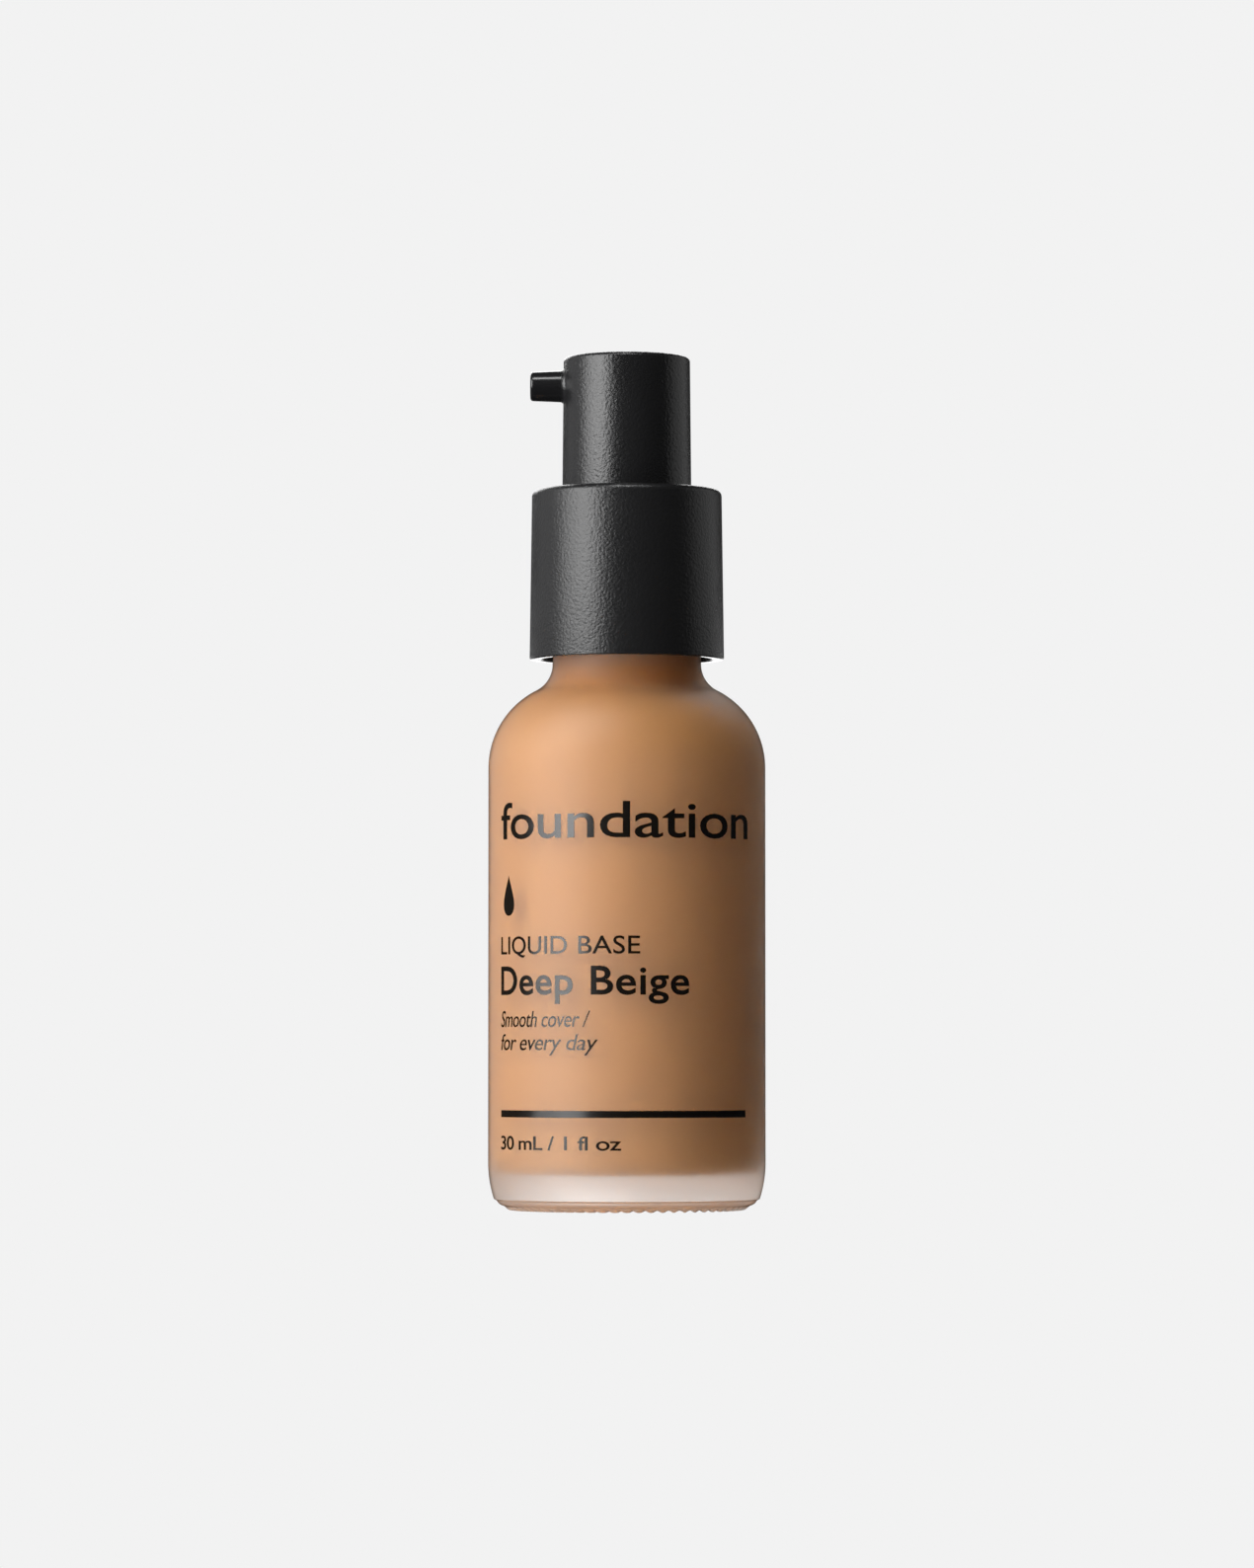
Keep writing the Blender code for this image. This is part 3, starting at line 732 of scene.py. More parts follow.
@dataclass(frozen=True)
class DrawnSteel:
    """Stainless steel with fine lines from drawing or polishing."""

    name: str
    colour: Colour = (0.60, 0.60, 0.61)
    smoothest: float = 0.16
    roughest: float = 0.30

    def made(self) -> bpy.types.Material:
        """The material: metal whose roughness follows fine grain and slow patches.

        Returns:
            The material.
        """
        shader = Shader(self.name)
        patches = Effects.place(shader, "marks", Size=1.5, Warp=0.2).outputs["Value"]
        grain = Effects.place(shader, "grain", Size=0.08, Pits=0.1)
        dark = tuple(0.86 * part for part in self.colour)
        shader.set(
            Base_Color=shader.blend(patches, (*dark, 1.0), (*self.colour, 1.0)),
            Metallic=1.0,
            Roughness=shader.spread(patches, self.smoothest, self.roughest),
            Normal=shader.bump(grain.outputs["Height"], 0.2, 0.002),
        )
        return shader.material


# ---------------------------------------------------------------------------
# Sizes that pieces share
# ---------------------------------------------------------------------------


@dataclass(frozen=True)
class Thread:
    """A right-hand screw ridge of trapezium section, whose crest fades into the wall at both ends."""

    top_z: float
    depth: float
    pitch: float = 25.4 / 6
    turns: float = 1.15
    crest_half: float = 0.55
    flank: float = 0.6
    fade: float = 40.0 / 360.0
    start: float = math.pi / 40

    def rise(self, angle: Array, height: Array) -> Array:
        """How far the ridge stands out from the wall at each point.

        The ridge's middle climbs by one pitch a turn and ends at top_z. Its section is flat for
        crest_half either side of the middle and slopes down over flank times the depth.

        Args:
            angle: Angle round the axis, from 0 to a full turn.
            height: Height of each point.

        Returns:
            The radial rise, negative where depth is.
        """
        slope = abs(self.depth) * self.flank
        most = np.zeros_like(height)
        for lap in range(3):
            along = (angle - self.start) / TAU + lap
            middle = self.top_z + self.pitch * (along - self.turns)
            section = (self.crest_half + slope - np.abs(height - middle)) / slope
            ends = np.minimum(along, self.turns - along) / self.fade
            most = np.maximum(most, smooth(section) * smooth(ends))
        return self.depth * most


@dataclass(frozen=True)
class NeckFit:
    """Heights and radii at which the bottle, the collar and the pump meet."""

    body_radius: float = 16.4
    wall: float = 2.5
    shoulder_z: float = 52.27
    shoulder_arc: float = 10.29
    neck_arc: float = 3.55
    neck_radius: float = 8.8
    bore_radius: float = 7.2
    bore_arc: float = 1.5
    finish_height: float = 10.667
    thread_radius: float = 9.75
    thread_drop: float = 1.9
    gap: float = 0.25
    run_gap: float = 0.15
    stroke: float = 4.8
    gasket_thickness: float = 0.8
    flange_thickness: float = 1.0
    deck_thickness: float = 1.2
    guide_depth: float = 2.8
    guide_rise: float = 0.2
    chamber_radius: float = 3.75
    chamber_depth: float = 21.0
    seat_drop: float = 0.9
    throat_length: float = 1.6
    piston_height: float = 4.2
    piston_lag: float = 0.6
    stem_radius: float = 2.6
    stem_bore: float = 1.2
    stem_inset: float = 0.2
    stem_length: float = 18.6
    floor_z: float = 4.2

    @property
    def neck_z(self) -> float:
        """Height at which the shoulder's upper arc meets the neck."""
        across = self.neck_radius + self.neck_arc - (self.body_radius - self.shoulder_arc)
        return self.shoulder_z + math.sqrt((self.shoulder_arc + self.neck_arc) ** 2 - across**2)

    @property
    def finish_z(self) -> float:
        """Height of the glass mouth."""
        return self.neck_z + self.finish_height

    @property
    def gasket_z(self) -> float:
        """Underside of the gasket."""
        return self.finish_z + self.gap

    @property
    def flange_z(self) -> float:
        """Underside of the pump's flange, which lies on the gasket."""
        return self.gasket_z + self.gasket_thickness + self.gap

    @property
    def flange_top_z(self) -> float:
        """Top of the pump's flange."""
        return self.flange_z + self.flange_thickness

    @property
    def deck_z(self) -> float:
        """Underside of the collar's deck."""
        return self.flange_top_z + self.gap

    @property
    def deck_top_z(self) -> float:
        """Top of the collar's deck."""
        return self.deck_z + self.deck_thickness

    @property
    def guide_top_z(self) -> float:
        """Top of the guide ring, a little above the deck."""
        return self.deck_top_z + self.guide_rise

    @property
    def retainer_z(self) -> float:
        """Foot of the guide ring, inside the chamber."""
        return self.flange_top_z - self.guide_depth

    @property
    def piston_z(self) -> float:
        """Underside of the piston, which has room to float below the guide ring."""
        return self.retainer_z - self.gap - self.piston_lag - self.piston_height

    @property
    def stem_z(self) -> float:
        """Foot of the stem."""
        return self.piston_z + self.stem_inset

    @property
    def stem_top_z(self) -> float:
        """Top of the stem."""
        return self.stem_z + self.stem_length

    @property
    def chamber_z(self) -> float:
        """Floor of the pump's chamber."""
        return self.flange_top_z - self.chamber_depth


# ---------------------------------------------------------------------------
# Sub-assemblies
# ---------------------------------------------------------------------------


@dataclass
class Bottle:
    """The frosted glass bottle and the foundation in it."""

    fit: NeckFit
    floor_corner: float = 2.0
    wall_start_z: float = 5.65
    heel_radius: float = 15.72
    heel_z: float = 1.34
    heel_step: float = 0.35
    heel_step_drop: float = 0.2
    bearing_outer: float = 13.5
    bearing_inner: float = 12.0
    punt_rise: float = 1.3
    mouth_round: float = 0.5
    ridges: int = 60
    ridge_depth: float = 0.26
    ridge_lean: float = 0.04
    ridge_run: float = 1.5
    crest_inset: float = 0.6
    crest_inner_fade: float = 0.4
    crest_outset: float = 1.1
    crest_outer_fade: float = 0.7
    heel_fade: float = 1.0
    segments: int = 480
    contact: float = 0.02
    fill_above_neck: float = 2.2
    meniscus: float = 0.35
    pump_room: float = 4.9
    socket_room: float = 3.4
    tube_room: float = 2.3
    taper_depth: float = 1.8
    socket_depth: float = 3.6
    socket_end: float = 7.6
    tube_foot: float = 1.3
    fillet: float = 0.2
    fill_segments: int = 192

    def outside(self) -> Array:
        """Outline from the middle of the raised base out to the heel, up the wall and over the mouth.

        Returns:
            The outline, from the axis outwards and up.
        """
        fit = self.fit
        punt_radius = (self.bearing_inner**2 + self.punt_rise**2) / (2 * self.punt_rise)
        half = math.degrees(math.asin(self.bearing_inner / punt_radius))
        punt = arc((0.0, self.punt_rise - punt_radius), punt_radius, 90.0, 90.0 - half, 10)
        bearing = line((self.bearing_inner, 0.0), (self.bearing_outer, 0.0), 8)
        heel_out = self.heel_radius - self.heel_step - self.bearing_outer
        step_z = self.heel_z - self.heel_step_drop
        low = (heel_out**2 + step_z**2) / (2 * step_z)
        low_end = math.degrees(math.atan2(step_z - low, heel_out))
        heel = arc((self.bearing_outer, low), low, -90.0, low_end, 24)
        lean = fit.body_radius - self.heel_radius
        rise = self.wall_start_z - self.heel_z
        high = (lean**2 + rise**2) / (2 * lean)
        high_start = math.degrees(math.atan2(-rise, high - lean))
        wall = arc((fit.body_radius - high, self.wall_start_z), high, high_start, 0.0, 12)
        shoulder = shoulder_curve(
            fit.body_radius, fit.shoulder_z, fit.shoulder_arc, fit.neck_arc, fit.neck_radius, 30
        )
        top = fit.finish_z - self.mouth_round
        neck = line((fit.neck_radius, fit.neck_z), (fit.neck_radius, top), 56)
        lip = arc((fit.neck_radius - self.mouth_round, top), self.mouth_round, 0.0, 90.0, 6)
        mouth = arc((fit.bore_radius + self.mouth_round, top), self.mouth_round, 90.0, 180.0, 6)
        return joined(punt, bearing, heel, wall, shoulder, neck, lip, mouth)

    def inside(self, inset: float) -> Array:
        """Outline of the cavity from its floor's rim up to the bore.

        Args:
            inset: How far the outline lies out in the glass, or inwards if negative.

        Returns:
            The outline, upwards.
        """
        fit = self.fit
        radius = fit.body_radius - fit.wall + inset
        corner = self.floor_corner + inset
        floor = fit.floor_z - inset
        foot = arc((radius - corner, floor + corner), corner, -90.0, 0.0, 8)
        shoulder = shoulder_curve(
            radius,
            fit.shoulder_z,
            fit.shoulder_arc - fit.wall + inset,
            fit.bore_arc - inset,
            fit.bore_radius + inset,
            18,
        )
        return joined(foot, shoulder)

    def relief(self, angle: Array, radius: Array, height: Array) -> tuple[Array, Array]:
        """Adds the neck's thread and the short ridges that the base stands on.

        The base is lifted by ridge_depth, except on the crests of a cosine wave round the axis, which
        leans with the radius and fades in and out over the bearing ring.

        Args:
            angle: Angle of each point.
            radius: Radius of each point.
            height: Height of each point.

        Returns:
            The new radii and heights.
        """
        fit = self.fit
        thread = Thread(fit.finish_z - fit.thread_drop, fit.thread_radius - fit.neck_radius)
        on_neck = (radius > fit.neck_radius - 1e-3) & (height > fit.neck_z)
        new_radius = radius + np.where(on_neck, thread.rise(angle, height), 0.0)
        wave = 0.5 + 0.5 * np.cos(self.ridges * (angle + self.ridge_lean * (radius - self.bearing_outer)))
        crest_in = smooth((radius - self.bearing_inner - self.crest_inset) / self.crest_inner_fade)
        crest_out = smooth((self.bearing_outer + self.crest_outset - radius) / self.crest_outer_fade)
        inner = smooth((radius - self.bearing_inner + self.ridge_run) / self.ridge_run)
        outer = smooth((self.heel_radius - self.heel_step - radius) / self.heel_fade)
        under = height < self.heel_z - 0.5 * self.heel_step_drop
        lift = self.ridge_depth * (1.0 - wave * (crest_in * crest_out)) * inner * outer * under
        return new_radius, height + lift

    def glass(self) -> Surface:
        """The bottle as one closed shell: its outside, its mouth and its cavity.

        Returns:
            The closed shell.
        """
        floor = np.array([(0.0, self.fit.floor_z)])
        outline = joined(self.outside(), self.inside(0.0)[::-1], floor)
        return turned(outline, self.segments, self.relief)

    def cream(self) -> Surface:
        """The foundation, in contact with the glass, with a stepped well round the pump and its tube.

        Returns:
            The closed surface of the liquid.
        """
        fit = self.fit
        room = self.contact
        surface_z = fit.neck_z + self.fill_above_neck
        bore = fit.bore_radius + room
        well = rounded(
            [
                (self.pump_room, surface_z, 0.0),
                (self.pump_room, fit.chamber_z - self.taper_depth, self.fillet),
                (self.socket_room, fit.chamber_z - self.socket_depth, self.fillet),
                (self.socket_room, fit.chamber_z - self.socket_end, self.fillet),
                (self.tube_room, fit.chamber_z - self.socket_end, 0.0),
                (self.tube_room, fit.floor_z + self.tube_foot, self.fillet),
                (0.0, fit.floor_z + self.tube_foot, 0.0),
            ]
        )
        sides = self.inside(room)
        climb = arc((bore - self.meniscus, surface_z + self.meniscus), self.meniscus, 0.0, -90.0, 5)
        low = np.array([(0.0, fit.floor_z - room)])
        return turned(joined(low, sides, climb, well), self.fill_segments)

    def build(self) -> list[bpy.types.Object]:
        """Makes the glass and the cream."""
        glass, cream = FrostedGlass().made(), Foundation().made()
        return [
            shown("glass_body", self.glass(), glass, Body.BOTTLE, Slot.FROSTED_GLASS, "glass_bottle"),
            shown("cream_fill", self.cream(), cream, Body.BOTTLE, Slot.FOUNDATION, "foundation_fill"),
        ]


@dataclass(frozen=True)
class PrintedWords:
    """One printed line of generic words, fitted between two angles on the front."""

    name: str
    words: str
    base_z: float
    cap_height: float
    start: float
    end: float
    weight: float = 0.0
    lean: float = 0.0
    spacing: float = 1.0

    def outline(self) -> bmesh.types.BMesh:
        """The words as flat faces, x from 0 to the line's length and y up from its base line.

        Returns:
            The flat faces, for the caller to use up.
        """
        text = bpy.data.curves.new(self.name, "FONT")
        text.body = self.words
        text.resolution_u = 5
        text.space_character = self.spacing
        text.shear = self.lean
        text.offset = self.weight
        holder = bpy.data.objects.new(self.name, text)
        bpy.context.collection.objects.link(holder)
        ready = holder.evaluated_get(bpy.context.evaluated_depsgraph_get())
        mesh = bpy.data.meshes.new_from_object(ready)
        flat = bmesh.new()
        flat.from_mesh(mesh)
        bpy.data.objects.remove(holder)
        bpy.data.curves.remove(text)
        bpy.data.meshes.remove(mesh)
        return flat


@dataclass(frozen=True)
class PrintedShape:
    """A printed shape of one closed outline, in millimetres from its lower left corner."""

    name: str
    points: Array
    base_z: float
    start: float

    def outline(self) -> bmesh.types.BMesh:
        """The shape as one flat face.

        Returns:
            The flat face, for the caller to use up.
        """
        flat = bmesh.new()
        corners = [flat.verts.new((x, y, 0.0)) for x, y in self.points]
        flat.faces.new(corners)
        return flat


@dataclass
class Print:
    """The print on the front: generic words, a droplet, a rule and the volume."""

    fit: NeckFit
    film: float = 0.035
    bite: float = 0.02
    strip: float = 0.7
    left: float = -63.6
    right: float = 59.3
    capital: float = 0.7
    drop_start: float = -63.0
    drop_base_z: float = 34.6
    drop_half_width: float = 1.62
    drop_height: float = 4.7
    drop_taper: float = 1.6
    rule_start: float = -63.5
    rule_end: float = 57.5
    rule_base_z: float = 11.06
    rule_height: float = 0.81
    ink: bpy.types.Material | None = None

    def lines(self) -> list[PrintedWords]:
        """Every line of words, from the top down."""
        left = self.left
        return [
            PrintedWords("print_title", "foundation", 43.6, 4.25, left, self.right, 0.006, 0.0, 0.98),
            PrintedWords("print_type", "LIQUID BASE", 30.1, 2.1, left, 5.4, 0.004, 0.0, 1.02),
            PrintedWords("print_shade", "Deep Beige", 25.4, 3.3, left, 26.2, 0.014, 0.0, 1.05),
            PrintedWords("print_note_upper", "Smooth cover /", 21.6, 1.9, left, -15.0, 0.0, 0.22, 0.95),
            PrintedWords("print_note_lower", "for every day", 18.9, 1.9, left, -11.8, 0.0, 0.22, 0.95),
            PrintedWords("print_volume", "30 mL / 1 fl oz", 7.3, 1.6, left, -2.2, 0.008, 0.0, 0.94),
        ]

    def shapes(self) -> list[PrintedShape]:
        """The droplet and the rule.

        The droplet is half as wide at t as 1 + sin t (sin t/2)^p, and as tall as 0.5 + 0.5 cos t.

        Returns:
            Both shapes.
        """
        t = np.linspace(0.0, TAU, 64, endpoint=False)
        across = 1.0 + np.sin(t) * np.sin(t / 2) ** self.drop_taper
        up = 0.5 + 0.5 * np.cos(t)
        drop = np.column_stack((self.drop_half_width * across, self.drop_height * up))
        length = math.radians(self.rule_end - self.rule_start) * self.fit.body_radius
        high = self.rule_height
        rule = np.array([(0.0, 0.0), (length, 0.0), (length, high), (0.0, high)])
        return [
            PrintedShape("print_droplet", drop, self.drop_base_z, self.drop_start),
            PrintedShape("print_rule", rule, self.rule_base_z, self.rule_start),
        ]

    def wrapped(
        self, name: str, flat: bmesh.types.BMesh, start: float, base_z: float
    ) -> bpy.types.Object:
        """Cuts flat faces into upright strips, thickens them to a film and lays it on the wall.

        A point (x, y, t) goes to the angle start + x / R, the height base + y and the radius R + t.

        Args:
            name: Name of the piece.
            flat: The flat faces, which are used up.
            start: Angle of the left edge, in degrees from the front.
            base_z: Height of the base line.

        Returns:
            The printed piece.
        """
        wall = self.fit.body_radius
        bmesh.ops.remove_doubles(flat, verts=flat.verts, dist=1e-4)
        far = max(point.co.x for point in flat.verts)
        for cut in np.arange(self.strip, far, self.strip):
            everything = flat.verts[:] + flat.edges[:] + flat.faces[:]
            bmesh.ops.bisect_plane(flat, geom=everything, plane_co=(cut, 0, 0), plane_no=(1, 0, 0), dist=1e-5)
        grown = bmesh.ops.extrude_face_region(flat, geom=flat.faces[:])
        upper = [item for item in grown["geom"] if isinstance(item, bmesh.types.BMVert)]
        bmesh.ops.translate(flat, verts=upper, vec=(0, 0, self.film + self.bite))
        bmesh.ops.recalc_face_normals(flat, faces=flat.faces)
        bmesh.ops.triangulate(flat, faces=[face for face in flat.faces if len(face.verts) > 4])
        mesh = bpy.data.meshes.new(name)
        flat.to_mesh(mesh)
        flat.free()
        place = np.empty(len(mesh.vertices) * 3)
        mesh.vertices.foreach_get("co", place)
        x, y, depth = place.reshape(-1, 3).T
        angle = math.radians(start) + x / wall
        radius = wall - self.bite + depth
        curved = np.column_stack((radius * np.sin(angle), -radius * np.cos(angle), base_z + y)) * MM
        mesh.vertices.foreach_set("co", curved.ravel())
        mesh.update()
        mesh.shade_smooth()
        mesh.set_sharp_from_angle(angle=math.radians(38.0))
        mesh.materials.append(self.ink)
        return settled(bpy.data.objects.new(name, mesh), Body.BOTTLE, Slot.FROSTED_GLASS)

    def build(self) -> list[bpy.types.Object]:
        """Prints every line and shape.

        Returns:
            The printed pieces, from the top down, then the shapes.
        """
        self.ink = Ink().made()
        pieces = []
        for words in self.lines():
            flat = words.outline()
            place = np.array([point.co for point in flat.verts])
            low, high = place.min(axis=0), place.max(axis=0)
            length = math.radians(words.end - words.start) * self.fit.body_radius
            across = length / (high[0] - low[0])
            up = words.cap_height / self.capital
            for point in flat.verts:
                point.co.x = (point.co.x - low[0]) * across
                point.co.y = point.co.y * up
            pieces.append(self.wrapped(words.name, flat, words.start, words.base_z))
        for shape in self.shapes():
            pieces.append(self.wrapped(shape.name, shape.outline(), shape.start, shape.base_z))
        return pieces


@dataclass
class Collar:
    """The screw collar: a smooth skirt, a threaded bore, a deck and a well for the actuator."""

    fit: NeckFit
    bottom_z: float = 65.15
    top_z: float = 85.3
    bottom_radius: float = 11.53
    top_radius: float = 11.25
    edge: float = 0.8
    rim: float = 0.25
    mouth_edge: float = 0.1
    bore: float = 10.05
    thread_radius: float = 9.2
    roof: float = 1.1
    well_radius: float = 8.0
    well_wall: float = 0.9
    deck_hole: float = 5.4
    snap_radius: float = 9.4
    snap_land: float = 0.3
    lead_in: float = 0.4
    thread_room: float = 0.6
    thread_stop: float = 0.5
    fillet: float = 0.1
    soft: float = 0.15
    segments: int = 240

    def outline(self) -> Array:
        """Section of the collar, closed on itself, with rows close enough together to carry the thread.

        Returns:
            The section's points.
        """
        fit = self.fit
        snap_z = fit.flange_z - fit.gap - 2 * self.snap_land
        roof_z = self.top_z - self.roof
        chimney = self.well_radius + self.well_wall
        upper = rounded(
            [
                (self.bottom_radius, self.bottom_z, self.mouth_edge),
                (self.bore + self.mouth_edge, self.bottom_z, self.mouth_edge / 2),
                (self.bore, self.bottom_z + self.lead_in, self.fillet),
                (self.bore, snap_z - self.snap_land, self.fillet),
                (self.snap_radius, snap_z, self.soft),
                (self.snap_radius, snap_z + self.snap_land, self.soft),
                (self.bore, snap_z + 2 * self.snap_land, self.fillet),
                (self.bore, roof_z, self.soft),
                (chimney, roof_z, self.soft),
                (chimney, fit.deck_z, self.soft),
                (self.deck_hole, fit.deck_z, self.soft),
                (self.deck_hole, fit.deck_top_z, self.soft),
                (self.well_radius, fit.deck_top_z, self.soft),
                (self.well_radius, self.top_z, self.rim),
                (self.top_radius, self.top_z, self.edge),
            ],
            7,
        )
        start = int(np.argmax(upper[:, 1] > self.bottom_z + self.lead_in + self.fillet / 2))
        low, high = self.bottom_z + self.thread_room, snap_z - self.thread_stop
        threaded = line((self.bore, low), (self.bore, high), 64)
        return joined(upper[:start], threaded, upper[start:])

    def relief(self, angle: Array, radius: Array, height: Array) -> tuple[Array, Array]:
        """Adds the inner thread, which climbs half a pitch under the glass one.

        Args:
            angle: Angle of each point.
            radius: Radius of each point.
            height: Height of each point.

        Returns:
            The new radii and the same heights.
        """
        fit = self.fit
        flanks = Thread.flank * (fit.thread_radius - self.thread_radius)
        drop = 2 * Thread.crest_half + flanks + fit.gap
        thread = Thread(fit.finish_z - fit.thread_drop - drop, self.thread_radius - self.bore)
        in_bore = np.abs(radius - self.bore) < 1e-3
        return radius + np.where(in_bore, thread.rise(angle, height), 0.0), height

    def build(self, finish: bpy.types.Material) -> bpy.types.Object:
        """Makes the collar."""
        surface = turned(self.outline(), self.segments, self.relief)
        return shown("screw_collar", surface, finish, Body.COLLAR, Slot.COLLAR_BLACK, "closure")


@dataclass
class Actuator:
    """The push-down cap with its side nozzle."""

    fit: NeckFit
    base_z: float = 84.5
    top_z: float = 101.1
    top_radius: float = 7.5
    base_radius: float = 7.66
    edge: float = 0.55
    wall: float = 0.85
    roof: float = 1.9
    post_radius: float = 3.6
    outlet: float = 0.9
    nozzle_z: float = 97.66
    reach: float = 11.47
    tip_radius: float = 1.74
    root_radius: float = 1.865
    flare: float = 0.45
    flare_sweep: float = 80.0
    tip_round: float = 0.35
    bury: float = 0.25
    bore_lip: float = 0.3
    bore_step: float = 0.05
    inner_round: float = 0.4
    socket_round: float = 0.3
    soft: float = 0.15
    segments: int = 192
    nozzle_segments: int = 96

    def cap(self) -> Surface:
        """The cap with its post and socket, turned round the upright axis.

        Returns:
            The closed cap.
        """
        fit = self.fit
        inside = self.top_radius - self.wall
        ceiling = self.top_z - self.roof
        socket = fit.stem_radius + fit.run_gap
        mouth = fit.guide_top_z + fit.stroke + fit.gap
        end = fit.stem_top_z + fit.gap
        outline = rounded(
            [
                (0.0, self.top_z, 0.0),
                (self.top_radius, self.top_z, self.edge),
                (self.base_radius, self.base_z, self.soft),
                (self.base_radius - self.wall, self.base_z, self.soft),
                (inside, ceiling, self.inner_round),
                (self.post_radius, ceiling, self.inner_round),
                (self.post_radius, mouth, self.soft),
                (socket, mouth, self.socket_round),
                (socket, end, self.soft),
                (self.outlet, end, self.soft),
                (self.outlet, self.nozzle_z + self.outlet, self.soft),
                (0.0, self.nozzle_z + self.outlet, 0.0),
            ],
            8,
        )
        return turned(outline, self.segments)

    def nozzle(self) -> Surface:
        """The nozzle, a tapered tube along -X with a flared root that lies on the cap.

        Its outline is turned about the nozzle's own axis. Near the root the ring is pulled back by
        R - sqrt(R^2 - y^2), so that it follows the round of the cap.

        Returns:
            The closed nozzle.
        """
        start = self.top_radius
        corner = self.tip_radius - self.tip_round
        tip_start = self.reach - self.tip_round
        tip = arc((corner, tip_start), self.tip_round, 90.0, 0.0, 7)
        taper = line((self.tip_radius, tip_start), (self.root_radius, start + self.flare), 10)
        turn = np.radians(np.linspace(0.0, self.flare_sweep, 9))
        foot = np.column_stack(
            (
                self.root_radius + self.flare * (1 - np.cos(turn)),
                start + self.flare - self.flare * np.sin(turn),
            )
        )
        buried = np.array([(self.root_radius + self.flare, start - self.bury)])
        bore_radius = self.outlet - self.bore_step
        bore = rounded(
            [
                (self.outlet, self.reach, 0.0),
                (bore_radius, self.reach - self.bore_lip, self.bore_step),
                (bore_radius, self.post_radius, 0.0),
                (0.0, self.post_radius, 0.0),
            ]
        )
        end = np.array([(0.0, start - 2 * self.bury)])
        outline = joined(bore[::-1], tip, taper, foot, buried, end)
        flat = turned(outline, self.nozzle_segments)
        side, up, along = flat.points.T
        fit_back = self.top_radius - np.sqrt(np.maximum(self.top_radius**2 - side**2, 0.0))
        nearness = smooth((start + 2 * self.flare - along) / (2 * self.flare))
        on_outside = np.hypot(side, up) > self.outlet + self.bore_step
        along = along - fit_back * nearness * on_outside
        points = np.column_stack((-along, side, self.nozzle_z + up))
        return replace(flat, points=points).outward()

    def build(self, finish: bpy.types.Material) -> bpy.types.Object:
        """Makes the cap and its nozzle as one piece."""
        surface = self.cap() + self.nozzle()
        return shown("push_actuator", surface, finish, Body.HEAD, Slot.ACTUATOR_BLACK, "actuator_head")


